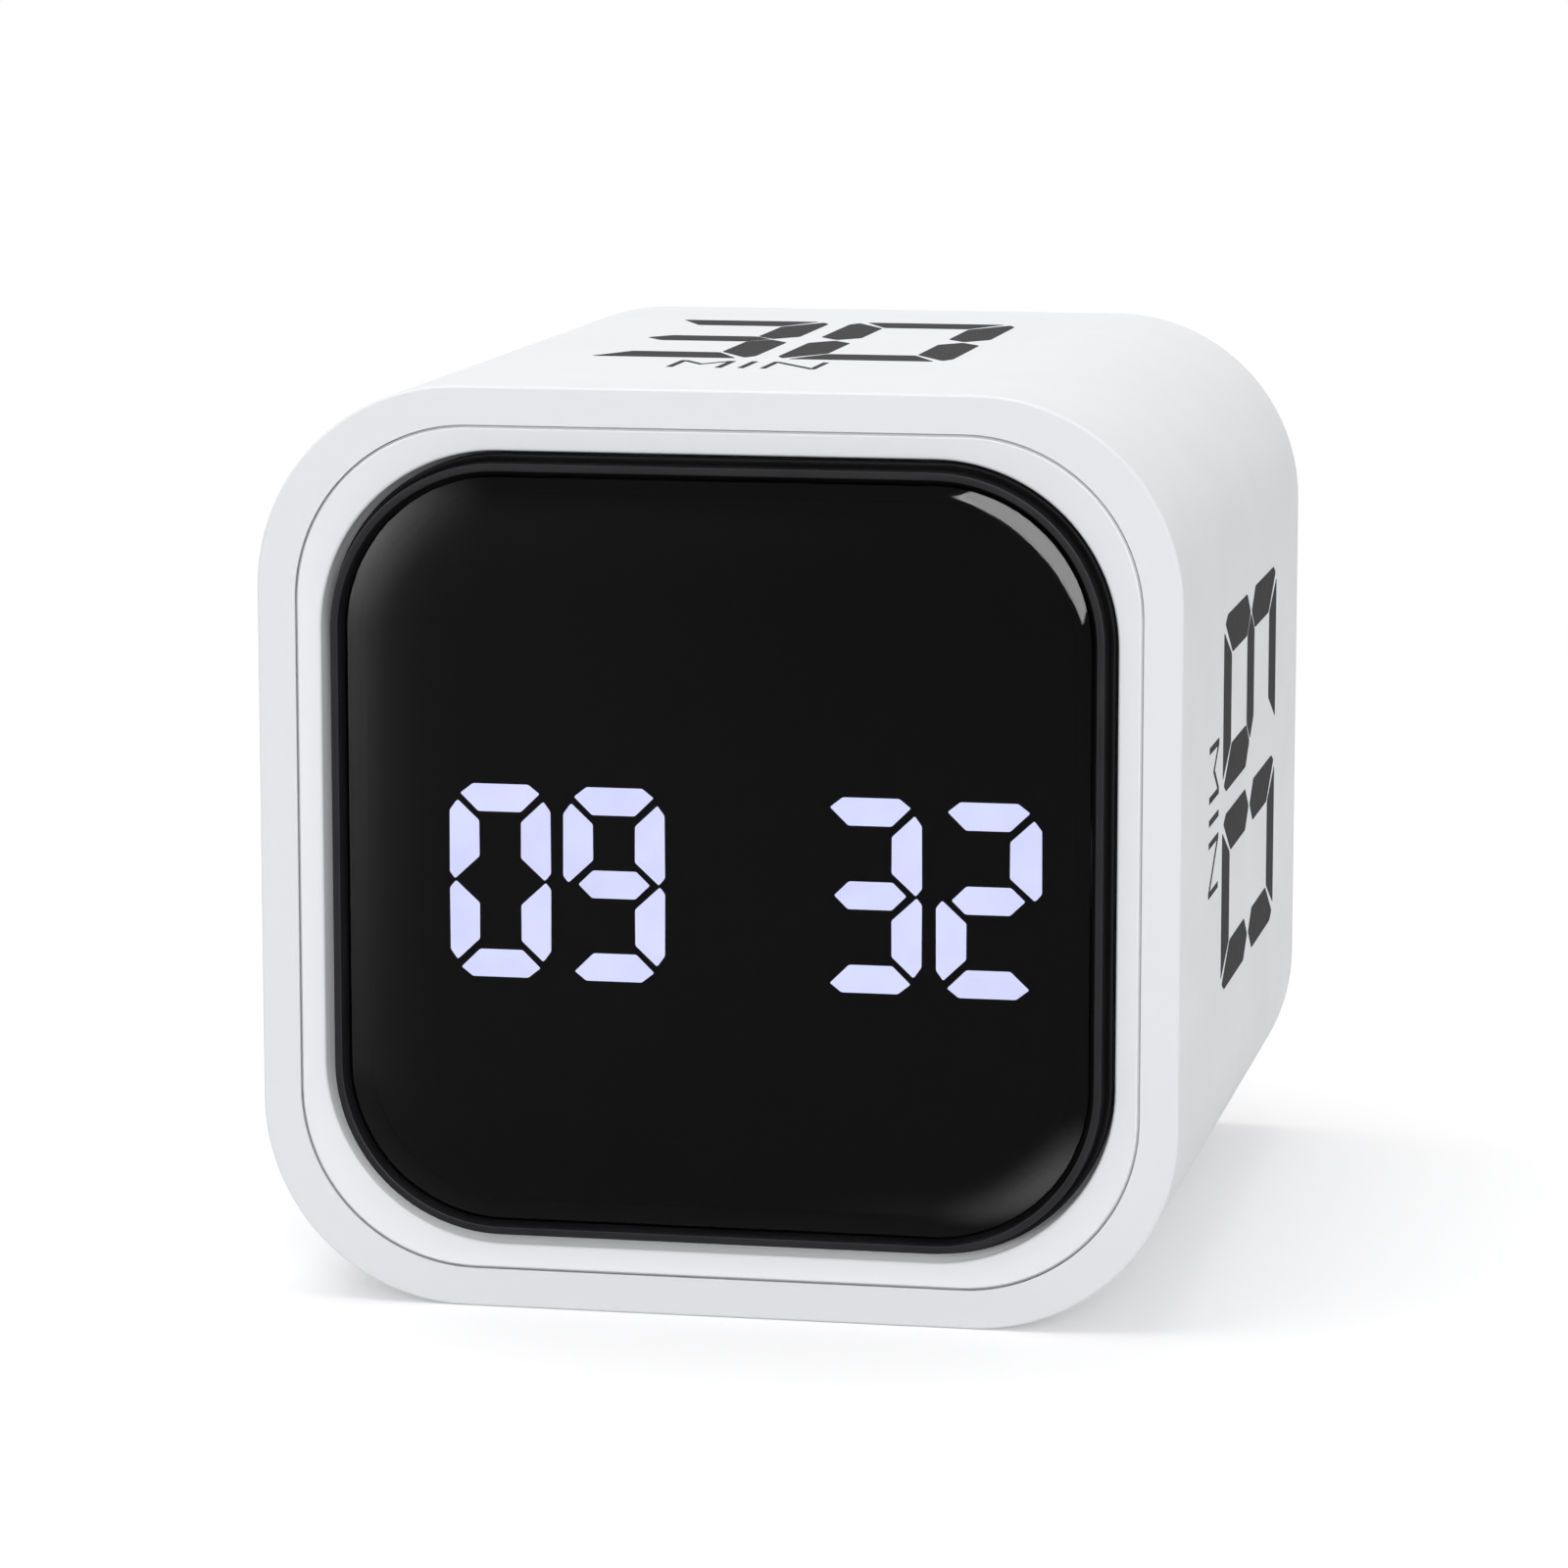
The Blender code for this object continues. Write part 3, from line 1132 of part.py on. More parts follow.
def make_sound_slider(assembly):
    """Sliding knob with a ridged grip, a shield and a stub in the switch."""
    x, z = rear_place(SLIDER_SHARE)
    shield_front = FLANGE_REAR - SHIELD_THICKNESS
    place = (x, shield_front, z)
    overlap = SLIDER_TRAVEL + SLIDER_OVERLAP
    half_length, half_height = SLIDER_GRIP_LENGTH / 2, SLIDER_GRIP_HEIGHT / 2
    shield = Outline(half_length + overlap, half_height + SLIDER_OVERLAP / 2, SHARPEST_RADIUS)
    mesh = rounded_block("sound_slider", shield, 0, SHIELD_THICKNESS, 1)
    slider = assembly.part("sound_slider", mesh, "gray_plastic", place)
    middle = SHIELD_THICKNESS / 2
    top = COVER_REAR + SLIDER_PROUD - shield_front
    grip = ((-half_length, middle, -half_height), (half_length, top, half_height))
    assembly.fuse(slider, blocks("grip", [grip]), place)
    half_stub = STUB_SIDE / 2
    stub_front = groove_front() + SEAT_GAP - shield_front
    stub = ((-half_stub, stub_front, -half_stub), (half_stub, middle, half_stub))
    assembly.fuse(slider, blocks("stub", [stub]), place)
    spacing = SLIDER_GRIP_LENGTH / (GRIP_RIDGE_COUNT + 1)
    grooves = []
    for number in range(GRIP_RIDGE_COUNT):
        centre = spacing * (number + 1) - half_length
        low = (centre - GRIP_RIDGE_WIDTH / 2, top - GRIP_RIDGE_DEPTH, -half_height - CUT_OVERRUN)
        high = (centre + GRIP_RIDGE_WIDTH / 2, top + CUT_OVERRUN, half_height + CUT_OVERRUN)
        grooves.append((low, high))
    assembly.cut(slider, blocks("grip_grooves", grooves), place)


def groove_front():
    """Depth of the bottom of the slide switch's groove."""
    return REAR_PART_SEAT + SWITCH_DEPTH - GROOVE_DEPTH


def make_slide_switch(assembly):
    """Switch on the board, with a groove in which the slider's stub moves."""
    x, z = rear_place(SLIDER_SHARE)
    body = Outline(SWITCH_LENGTH / 2, SWITCH_HEIGHT / 2, CHIP_BEVEL)
    rear = REAR_PART_SEAT + SWITCH_DEPTH
    mesh = rounded_block("slide_switch", body, REAR_PART_SEAT, rear, 1)
    switch = assembly.part("slide_switch", mesh, "plated_steel", (x, 0, z))
    half_height = STUB_SIDE / 2 + SEAT_GAP
    half_length = half_height + SLIDER_TRAVEL
    low = (-half_length, groove_front(), -half_height)
    high = (half_length, rear + CUT_OVERRUN, half_height)
    assembly.cut(switch, blocks("groove", [(low, high)]), (x, 0, z))


def socket_outline():
    """Outside of the charging socket's shell, with nearly round ends."""
    return Outline(SOCKET_WIDTH / 2, SOCKET_HEIGHT / 2, SOCKET_HEIGHT / 2 - SOCKET_WALL)


def make_usb_socket(assembly):
    """Charging socket with its hollow shell and the tongue inside it."""
    rear = COVER_REAR - SOCKET_SUNK
    x, z = rear_place(USB_SHARE)
    outline = socket_outline()
    mesh = rounded_block("usb_socket", outline, REAR_PART_SEAT, rear, SOCKET_ARC)
    socket = assembly.part("usb_socket", mesh, "plated_steel", (x, 0, z))
    floor = rear - SOCKET_CAVITY_DEPTH
    cavity = rounded_block(
        "cavity", outline.grown(-SOCKET_WALL), floor, rear + CUT_OVERRUN, SOCKET_ARC
    )
    assembly.cut(socket, cavity, (x, 0, z))
    tongue = blocks("tongue", [(
        (-TONGUE_WIDTH / 2, floor - SOCKET_WALL, -TONGUE_THICKNESS / 2),
        (TONGUE_WIDTH / 2, floor + TONGUE_LENGTH, TONGUE_THICKNESS / 2),
    )])
    assembly.fuse(socket, tongue, (x, 0, z))


def main():
    """Build every piece of the timer."""
    clear_scene()
    assembly = Assembly()
    make_main_housing(assembly)
    make_front_frame(assembly)
    make_bezel_ring(assembly)
    make_display_lens(assembly)
    make_diffuser_sheet(assembly)
    make_digit_reflector(assembly)
    make_display_board(assembly)
    make_display_parts(assembly)
    make_battery_tray(assembly)
    make_battery_cell(assembly)
    make_battery_leads(assembly)
    make_display_ribbon(assembly)
    make_main_board(assembly)
    make_board_parts(assembly)
    make_buzzer(assembly)
    make_rear_cover(assembly)
    make_cover_screws(assembly)
    for name, share in BUTTON_SHARES.items():
        make_button(assembly, name, rear_place(share))
    make_sound_slider(assembly)
    make_slide_switch(assembly)
    make_usb_socket(assembly)
    bpy.context.view_layer.update()


main()
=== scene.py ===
"""Looks of the white cube timer: fine outer pieces, finishes, print, lit digits, floor, lamps and camera.

Lengths in the classes are millimetres in the maker's frame: x to the right as seen from the
display, y the depth behind the front rim plane, z up from the middle of the cube. PLACE turns
them into the shared frame. The studio's own lengths are metres in the shared frame.
"""
import json
import logging
import math
from dataclasses import dataclass
from enum import Enum
from typing import Iterable, Sequence

import bmesh
import bpy
from bmesh.types import BMEdge, BMesh, BMFace, BMVert
from bpy.types import ID, Collection, Material, Node, NodeSocket, NodeTree, Object
from mathutils import Matrix, Vector


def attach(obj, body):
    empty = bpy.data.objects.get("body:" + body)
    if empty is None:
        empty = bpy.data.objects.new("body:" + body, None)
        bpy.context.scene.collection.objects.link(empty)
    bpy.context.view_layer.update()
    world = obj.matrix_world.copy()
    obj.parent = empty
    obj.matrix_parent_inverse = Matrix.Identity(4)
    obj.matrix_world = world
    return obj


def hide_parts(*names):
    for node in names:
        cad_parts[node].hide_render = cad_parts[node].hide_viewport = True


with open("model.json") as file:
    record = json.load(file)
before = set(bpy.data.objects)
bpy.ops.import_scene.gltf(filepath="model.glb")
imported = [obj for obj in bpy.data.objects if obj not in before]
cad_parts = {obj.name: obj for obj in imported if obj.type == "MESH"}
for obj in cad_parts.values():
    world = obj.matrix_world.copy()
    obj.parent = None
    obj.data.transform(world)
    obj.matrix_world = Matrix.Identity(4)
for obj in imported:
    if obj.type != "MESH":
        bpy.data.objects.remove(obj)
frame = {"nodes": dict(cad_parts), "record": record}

LOG = logging.getLogger("cube_timer")
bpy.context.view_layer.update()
MM = 0.001
RIM_DEPTH = -32.45
MIDDLE_HEIGHT = 30.0
PLACE = Matrix.Translation((0, RIM_DEPTH * MM, MIDDLE_HEIGHT * MM)) @ Matrix.Scale(MM, 4)
FACE_FRONT = Matrix.Rotation(math.radians(90), 4, "X")
# The sleeve stays this far inside the solids' sides, so that the ink on it is still within them.
SKIN = 0.015
EDGE_WEIGHT = "bevel_weight_edge"
# Facets of a corner of the cube, of a segment's corner, of a block's edge and of a letter's curve.
CORNER_STEPS, SEGMENT_STEPS, BLOCK_STEPS, LETTER_STEPS = 28, 4, 3, 4
# Millimetres: points this close are on an outline, or one point of a ring, or of a spun shape.
ON_OUTLINE, SAME_IN_RING, SAME_POINT = 1e-3, 1e-4, 1e-5
# How strongly the large faces of a piece hold the normals of its rounds.
FLAT_FACE_WEIGHT = 80
# Nearly all the values of a noise lie between these two.
NOISE_LOW, NOISE_HIGH = 0.3, 0.7
NOISE_ROUGHNESS, MOTTLE_DETAIL, GRAIN_DETAIL = 0.55, 3.0, 2.0
# A wave texture has about this many bands to a metre at a scale of 1.
WAVE_BANDS = 3.2
# A colour mix has several sockets of one name, so these go by number.
MIX_FROM, MIX_TO, MIX_RESULT = 6, 7, 2
PLAIN_WHITE = (1, 1, 1, 1)
FULL_SPREAD = 180.0

Point = tuple[float, float]
Place = tuple[float, float, float]
Colour = tuple[float, float, float, float]


class Body(Enum):
    """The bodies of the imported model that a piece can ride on."""

    CASE = "case"
    MINUTE = "minute_button"
    SECOND = "second_button"
    START = "start_button"
    SLIDER = "slider"


class Side(Enum):
    """The four printed faces, each with the turn about the depth axis that brings the top face to it."""

    TOP = 0
    RIGHT = 90
    BOTTOM = 180
    LEFT = 270


# Finishes


def srgb(code: str) -> Colour:
    """Turns an sRGB hex colour into the linear values that sockets take.

    Args:
        code: Six hex digits, with or without a leading hash.

    Returns:
        Linear red, green, blue and an alpha of 1.
    """
    code = code.lstrip("#")
    parts = [int(code[at : at + 2], 16) / 255 for at in (0, 2, 4)]
    red, green, blue = [
        part / 12.92 if part <= 0.04045 else ((part + 0.055) / 1.055) ** 2.4 for part in parts
    ]
    return (red, green, blue, 1.0)


def bare_tree(owner: ID) -> NodeTree:
    """Switches on the nodes of a material, world or lamp.

    Args:
        owner: What has the nodes.

    Returns:
        Its node tree, emptied.
    """
    owner.use_nodes = True
    owner.node_tree.nodes.clear()
    return owner.node_tree


def add_node(tree: NodeTree, kind: str, inputs: dict | None = None, **settings: object) -> Node:
    """Adds one node, sets its properties and fills or links its inputs.

    Args:
        tree: The node tree of a material, the world or a lamp.
        kind: The node's type name.
        inputs: Socket name or number to a value, or to another node's output.
        settings: Properties of the node itself.

    Returns:
        The new node.
    """
    node = tree.nodes.new(kind)
    for name, value in settings.items():
        setattr(node, name, value)
    for key, value in (inputs or {}).items():
        if isinstance(value, NodeSocket):
            tree.links.new(value, node.inputs[key])
        else:
            node.inputs[key].default_value = value
    return node


@dataclass(frozen=True)
class Finish:
    """A moulded plastic: one pigment, a faint mottle and the fine grain of the mould's wall.

    The mottle gives the eye slow changes of tone, and the grain breaks up the gloss. A real
    mould's grain is under 0.1 mm wide, and it is drawn coarser here so that it shows.
    """

    name: str
    colour: str
    second: str
    roughness: float = 0.42
    spread: float = 0.06
    grain_mm: float = 0.35
    depth_mm: float = 0.004
    bump: float = 0.25
    mottle_mm: float = 9.0
    gloss_patch: float = 0.4
    ior: float = 1.53
    metallic: float = 0.0
    specular: float = 0.5
    coat: float = 0.0
    coat_roughness: float = 0.08

    def material(self) -> Material:
        """Makes the material at its first use.

        Returns:
            The material.
        """
        made = bpy.data.materials.get(self.name)
        if made is None:
            made = bpy.data.materials.new(self.name)
            self.dress(bare_tree(made))
        return made

    def noise(self, tree: NodeTree, size_mm: float, detail: float = MOTTLE_DETAIL) -> NodeSocket:
        """Adds a noise on the piece's own coordinates.

        Args:
            tree: The material's node tree.
            size_mm: How wide its features are.
            detail: How many finer layers it has.

        Returns:
            The noise, from 0 to 1.
        """
        place = add_node(tree, "ShaderNodeTexCoord").outputs["Object"]
        inputs = {
            "Vector": place, "Scale": 1 / (size_mm * MM), "Detail": detail, "Roughness": NOISE_ROUGHNESS
        }
        return add_node(tree, "ShaderNodeTexNoise", inputs).outputs["Fac"]

    def varied(self, tree: NodeTree, share: NodeSocket, level: float, swing: float) -> NodeSocket:
        """Returns a level that a noise moves up and down.

        Args:
            tree: The material's node tree.
            share: The noise.
            level: The middle of the range.
            swing: How far it goes to either side of the middle.

        Returns:
            The level over the surface.
        """
        inputs = {
            "Value": share, "From Min": NOISE_LOW, "From Max": NOISE_HIGH,
            "To Min": level - swing, "To Max": level + swing,
        }
        return add_node(tree, "ShaderNodeMapRange", inputs).outputs["Result"]

    def second_share(self, tree: NodeTree) -> NodeSocket:
        """Returns how much of the second tone shows: slow patches of it."""
        return self.noise(tree, self.mottle_mm)

    def texture(self, tree: NodeTree) -> NodeSocket:
        """Returns the height of the surface's texture, from 0 to 1: the grain of the mould."""
        return self.noise(tree, self.grain_mm, GRAIN_DETAIL)

    def tint(self, tree: NodeTree) -> NodeSocket:
        """Mixes the two tones over the surface.

        Args:
            tree: The material's node tree.

        Returns:
            The colour.
        """
        inputs = {
            "Factor": self.second_share(tree), MIX_FROM: srgb(self.colour), MIX_TO: srgb(self.second)
        }
        return add_node(tree, "ShaderNodeMix", inputs, data_type="RGBA").outputs[MIX_RESULT]

    def relief(self, tree: NodeTree) -> NodeSocket:
        """Turns the surface's texture to fine relief.

        Args:
            tree: The material's node tree.

        Returns:
            The bumped normal.
        """
        inputs = {
            "Height": self.texture(tree), "Strength": self.bump, "Distance": self.depth_mm * MM
        }
        return add_node(tree, "ShaderNodeBump", inputs).outputs["Normal"]

    def gloss(self, tree: NodeTree) -> NodeSocket:
        """Returns the roughness over the surface, in patches finer than the mottle's."""
        patches = self.noise(tree, self.mottle_mm * self.gloss_patch)
        return self.varied(tree, patches, self.roughness, self.spread)

    def surface(self, tree: NodeTree, extra: dict) -> None:
        """Adds the surface shader with this finish's own values and joins it to the output.

        Args:
            tree: The material's node tree.
            extra: Further inputs of the shader, which win over the finish's own.
        """
        inputs = {
            "Base Color": self.tint(tree), "Roughness": self.gloss(tree), "Normal": self.relief(tree),
            "Metallic": self.metallic, "IOR": self.ior, "Specular IOR Level": self.specular,
            "Coat Weight": self.coat, "Coat Roughness": self.coat_roughness,
        }
        if self.metallic:
            del inputs["IOR"]
        shader = add_node(tree, "ShaderNodeBsdfPrincipled", {**inputs, **extra})
        add_node(tree, "ShaderNodeOutputMaterial", {"Surface": shader.outputs["BSDF"]})

    def dress(self, tree: NodeTree) -> None:
        """Builds the finish's nodes."""
        self.surface(tree, {})


@dataclass(frozen=True)
class SmokedAcrylic(Finish):
    """Polished smoked acrylic: nearly black, lets only the bright segments behind it through."""

    sheen: Colour = (0.14, 0.14, 0.14, 1.0)

    def dress(self, tree: NodeTree) -> None:
        """Adds the tinted passage of light to the polished surface."""
        self.surface(tree, {"Transmission Weight": 1.0, "Specular Tint": self.sheen})


@dataclass(frozen=True)
class LitFilm(Finish):
    """A lit segment: diffusing film that glows, with a slow unevenness from the lamps behind it."""

    strength: float = 45.5
    unevenness: float = 0.03
    cell_mm: float = 2.4
    cell_detail: float = 1.0

    def dress(self, tree: NodeTree) -> None:
        """Adds the glow to the film.

        Args:
            tree: The material's node tree.
        """
        cells = self.noise(tree, self.cell_mm, self.cell_detail)
        glow = self.varied(tree, cells, self.strength, self.strength * self.unevenness)
        self.surface(tree, {"Emission Color": srgb(self.colour), "Emission Strength": glow})


@dataclass(frozen=True)
class BrushedMetal(Finish):
    """Plated or turned metal: fine parallel tool lines along the depth, and dull patches of handling."""

    metallic: float = 1.0
    line_mm: float = 0.15
    stretch: float = 0.05

    def texture(self, tree: NodeTree) -> NodeSocket:
        """Adds the tool lines: a noise drawn out along the depth.

        Args:
            tree: The material's node tree.

        Returns:
            Their height, from 0 to 1.
        """
        place = add_node(tree, "ShaderNodeTexCoord").outputs["Object"]
        lines = 1 / (self.line_mm * MM)
        inputs = {"Vector": place, "Scale": (lines, lines * self.stretch, lines)}
        drawn = add_node(tree, "ShaderNodeMapping", inputs).outputs["Vector"]
        inputs = {"Vector": drawn, "Scale": 1.0, "Detail": GRAIN_DETAIL}
        return add_node(tree, "ShaderNodeTexNoise", inputs).outputs["Fac"]


@dataclass(frozen=True)
class SolderMask(Finish):
    """A glass fibre board under green solder mask: the copper tracks show as raised paler lines."""

    depth_mm: float = 0.035
    bump: float = 0.6
    track_mm: float = 1.6
    track_share: float = 0.14
    track_top: float = 0.7
    wander: float = 0.75

    def texture(self, tree: NodeTree) -> NodeSocket:
        """Adds the tracks: the edges of loose cells.

        Args:
            tree: The material's node tree.

        Returns:
            1 on a track and 0 between tracks.
        """
        place = add_node(tree, "ShaderNodeTexCoord").outputs["Object"]
        inputs = {"Vector": place, "Scale": 1 / (self.track_mm * MM), "Randomness": self.wander}
        edges = add_node(
            tree, "ShaderNodeTexVoronoi", inputs, feature="DISTANCE_TO_EDGE", distance="EUCLIDEAN"
        )
        inputs = {
            "Value": edges.outputs["Distance"], "From Min": self.track_share,
            "From Max": self.track_share * self.track_top,
        }
        return add_node(tree, "ShaderNodeMapRange", inputs).outputs["Result"]

    def second_share(self, tree: NodeTree) -> NodeSocket:
        """Returns how much of the paler green shows: it lies over the copper."""
        return self.texture(tree)


@dataclass(frozen=True)
class FlatCable(Finish):
    """Flat ribbon cable: parallel ridges over the conductors, with painted shade that darkens the grooves
    between them.
    """

    depth_mm: float = 0.15
    bump: float = 0.7
    pitch_mm: float = 1.0

    def texture(self, tree: NodeTree) -> NodeSocket:
        """Adds the ridges over the conductors.

        Args:
            tree: The material's node tree.

        Returns:
            Their height, from 0 in a groove to 1 on a ridge.
        """
        place = add_node(tree, "ShaderNodeTexCoord").outputs["Object"]
        inputs = {"Vector": place, "Scale": 1 / (self.pitch_mm * MM * WAVE_BANDS)}
        return add_node(tree, "ShaderNodeTexWave", inputs, bands_direction="X").outputs["Fac"]

    def second_share(self, tree: NodeTree) -> NodeSocket:
        """Returns how much of the paler tone shows: it lies on the ridges, and the darker tone in the
        grooves is painted shade.
        """
        return self.texture(tree)


@dataclass(frozen=True)
class CellularFoam(Finish):
    """Foam tape: open cells that leave small shaded pits in its skin."""

    depth_mm: float = 0.2
    bump: float = 0.9
    cell_mm: float = 0.6

    def texture(self, tree: NodeTree) -> NodeSocket:
        """Adds the open cells.

        Args:
            tree: The material's node tree.

        Returns:
            The height over them.
        """
        place = add_node(tree, "ShaderNodeTexCoord").outputs["Object"]
        inputs = {"Vector": place, "Scale": 1 / (self.cell_mm * MM)}
        return add_node(tree, "ShaderNodeTexVoronoi", inputs).outputs["Distance"]


# Injection moulded ABS: satin white with a fine spark-eroded grain.
SATIN_ABS = Finish("satin_white_abs", "#E9EAEC", "#E6E7EA", roughness=0.46, mottle_mm=14.0)
# The same ABS in grey, for the keys and the tray.
GREY_ABS = Finish("satin_grey_abs", "#6E7074", "#696B70", roughness=0.48, mottle_mm=5.0)
# Black ABS from a finely sparked mould: satin, so its crest is an even dark grey in the light.
BLACK_ABS = Finish("satin_black_abs", "#151517", "#1A1A1C", grain_mm=0.2, depth_mm=0.002, specular=0.08)
# Cast acrylic with a low-glare hard coat: deep black, with crisp lamps in its curved edge.
ACRYLIC = SmokedAcrylic(
    "smoked_acrylic", "#2A2A2C", "#272729", roughness=0.045, spread=0.012, depth_mm=0.0004,
    grain_mm=2.5, bump=0.1, ior=1.49, specular=0.1,
)
# Diffusing film over a lit cell: a cool white glow.
LIT_FILM = LitFilm("lit_diffusing_film", "#D9DDFB", "#D9DDFB", roughness=0.6)
# Frosted polyester film, unlit: mid grey.
DARK_FILM = Finish("frosted_film", "#3A3B3F", "#35363A", roughness=0.6, grain_mm=0.2)
# Pad-printed ink: dull dark grey with slightly uneven cover.
PAD_INK = Finish(
    "pad_printed_ink", "#474748", "#434344", roughness=0.75, grain_mm=0.25, depth_mm=0.003,
    mottle_mm=2.5, specular=0.02,
)
# High-reflectance white moulding behind the digits: bright and a little glossy.
REFLECTOR = Finish("reflector_white", "#ECECEA", "#E4E4E2", roughness=0.35)
# Glass fibre laminate under solder mask: deep glossy green, paler over the tracks.
MASK = SolderMask("green_solder_mask", "#0E4A2B", "#1B6B40", roughness=0.3, coat=0.3)
# Transfer-moulded epoxy: matt black with a pitted skin.
CHIP_EPOXY = Finish("moulded_epoxy", "#1B1B1D", "#232325", roughness=0.62, grain_mm=0.12, depth_mm=0.01)
# Natural nylon of board connectors: warm ivory, slightly waxy.
NYLON = Finish("natural_nylon", "#E2DCCB", "#D8D1BE", roughness=0.38)
# Tin-plated steel sheet: soft grey shine with rolling lines.
PLATED = BrushedMetal("tin_plated_steel", "#C9C8C4", "#BDBCB9", roughness=0.3)
# Zinc-plated screws: bluish, turned.
ZINC = BrushedMetal("zinc_plated_steel", "#BCC0C6", "#AEB2B9", roughness=0.34, line_mm=0.1)
# Aluminium laminate of the pouch cell: crinkled silver.
FOIL = BrushedMetal(
    "aluminium_laminate", "#C9CCD2", "#BBBEC5", roughness=0.36, line_mm=1.2, depth_mm=0.05
)
# Acrylic foam tape: off-white and dull, with fine pits.
FOAM = CellularFoam("acrylic_foam", "#D9D8D0", "#C9C8BF", roughness=0.85)
# Extruded PVC round flat conductors: pale ridges, with painted shade that makes the grooves between them
# grey.
RIBBON = FlatCable("flat_cable_pvc", "#A9A8A5", "#D6D5D1", roughness=0.45)
# Extruded PVC insulation of the cell's leads: smooth, with a soft shine.
RED_PVC = Finish("red_pvc", "#B4181A", "#A21416", roughness=0.4)
BLACK_PVC = Finish("black_pvc", "#161616", "#1E1E1E", roughness=0.4)
# Gold over nickel on the socket's contacts: warm and bright.
GOLD = BrushedMetal("gold_flash", "#E3B45A", "#D4A44C", roughness=0.25)

SLOT_FINISHES: dict[str, Finish] = {
    "white_plastic": SATIN_ABS, "black_plastic": BLACK_ABS, "black_lens": ACRYLIC,
    "diffusing_film": DARK_FILM, "reflector_plastic": REFLECTOR, "circuit_board": MASK,
    "chip_resin": CHIP_EPOXY, "connector_plastic": NYLON, "plated_steel": PLATED, "zinc_screw": ZINC,
    "battery_foil": FOIL, "foam_tape": FOAM, "ribbon_film": RIBBON, "red_insulation": RED_PVC,
    "black_insulation": BLACK_PVC, "gray_plastic": GREY_ABS,
}


# Mesh work


@dataclass(frozen=True)
class Section:
    """A rounded square across the depth, and the round that its edge gets.

    half: half width; radius: corner radius; depth: place behind the rim; edge: edge round.
    """

    half: float
    radius: float
    depth: float
    edge: float = 0.0

    def away(self, point: Vector) -> float:
        """Measures a point against this outline.

        Args:
            point: Any point.

        Returns:
            How far it lies off, across the depth or along it.
        """
        straight = self.half - self.radius
        x, z = abs(point.x) - straight, abs(point.z) - straight
        reach = math.hypot(x, z) if x > 0 and z > 0 else max(x, z)
        return max(abs(reach - self.radius), abs(point.y - self.depth))

    def moved(self, point: Vector, target: "Section") -> Vector:
        """Returns the place on another section of a point that lies on this one.

        Args:
            point: A point of this outline's round corners.
            target: The section that it goes to.

        Returns:
            The point at the same angle of the same corner there.
        """
        here, there = self.half - self.radius, target.half - target.radius
        share = target.radius / self.radius
        x, z = math.copysign(here, point.x), math.copysign(here, point.z)
        across = math.copysign(there, point.x) + (point.x - x) * share
        return Vector((across, target.depth, math.copysign(there, point.z) + (point.z - z) * share))


def new_mesh() -> BMesh:
    """Makes an empty mesh whose edges can carry the finishing bevel's weight.

    Returns:
        The mesh.
    """
    mesh = bmesh.new()
    mesh.edges.layers.float.new(EDGE_WEIGHT)
    return mesh


def add_object(name: str, data: ID) -> Object:
    """Adds an object to the scene.

    Args:
        name: Its name.
        data: Its mesh, curve, lamp or camera.

    Returns:
        The object, at the origin.
    """
    added = bpy.data.objects.new(name, data)
    bpy.context.scene.collection.objects.link(added)
    return added


def mesh_object(name: str, mesh: BMesh, place: Matrix) -> Object:
    """Turns a finished mesh into an object at the origin.

    Args:
        name: The object's name, and its mesh's.
        mesh: The mesh; it is freed.
        place: What brings it into the shared frame.

    Returns:
        The object, with its place in its mesh.
    """
    data = bpy.data.meshes.new(name)
    mesh.to_mesh(data)
    mesh.free()
    data.transform(place)
    return add_object(name, data)


def rounded_face(mesh: BMesh, verts: Sequence[BMVert], radius: float, steps: int) -> BMFace:
    """Rounds every corner of a face that stands alone.

    Args:
        mesh: The mesh that is being built.
        verts: The face's corners.
        radius: Radius of the rounds.
        steps: Facets of each round.

    Returns:
        The rounded face.
    """
    others = set(mesh.faces) - set(verts[0].link_faces)
    bmesh.ops.bevel(
        mesh, geom=verts, offset=radius, offset_type="OFFSET", segments=steps, profile=0.5,
        affect="VERTICES", material=-1,
    )
    return (set(mesh.faces) - others).pop()


def deepen(mesh: BMesh, faces: Sequence[BMFace], run: float) -> BMFace:
    """Extrudes faces along the depth and keeps them as the near side.

    Args:
        mesh: The mesh that is being built.
        faces: Faces across the depth.
        run: How far the far side goes to the rear, or to the front if it is negative.

    Returns:
        A face of the far side, the only one if there was one face.
    """
    grown = bmesh.ops.extrude_face_region(mesh, geom=faces, use_keep_orig=True)["geom"]
    moved = [item for item in grown if isinstance(item, BMVert)]
    bmesh.ops.translate(mesh, verts=moved, vec=(0, run, 0))
    return next(item for item in grown if isinstance(item, BMFace))


def add_section(mesh: BMesh, section: Section) -> BMFace:
    """Adds a rounded square face that looks to the front.

    Args:
        mesh: The mesh that is being built.
        section: Its size and depth.

    Returns:
        The new face.
    """
    corners = bmesh.ops.create_grid(mesh, x_segments=1, y_segments=1, size=section.half)["verts"]
    place = Matrix.Translation((0, section.depth, 0)) @ FACE_FRONT
    bmesh.ops.transform(mesh, matrix=place, verts=corners)
    return rounded_face(mesh, corners, section.radius, CORNER_STEPS)


def weigh(mesh: BMesh, edges: Iterable[BMEdge], share: float) -> None:
    """Marks edges for the finishing bevel.

    Args:
        mesh: The mesh that is being built.
        edges: Some of its edges.
        share: Their share of the bevel's width.
    """
    layer = mesh.edges.layers.float[EDGE_WEIGHT]
    for edge in edges:
        edge[layer] = share


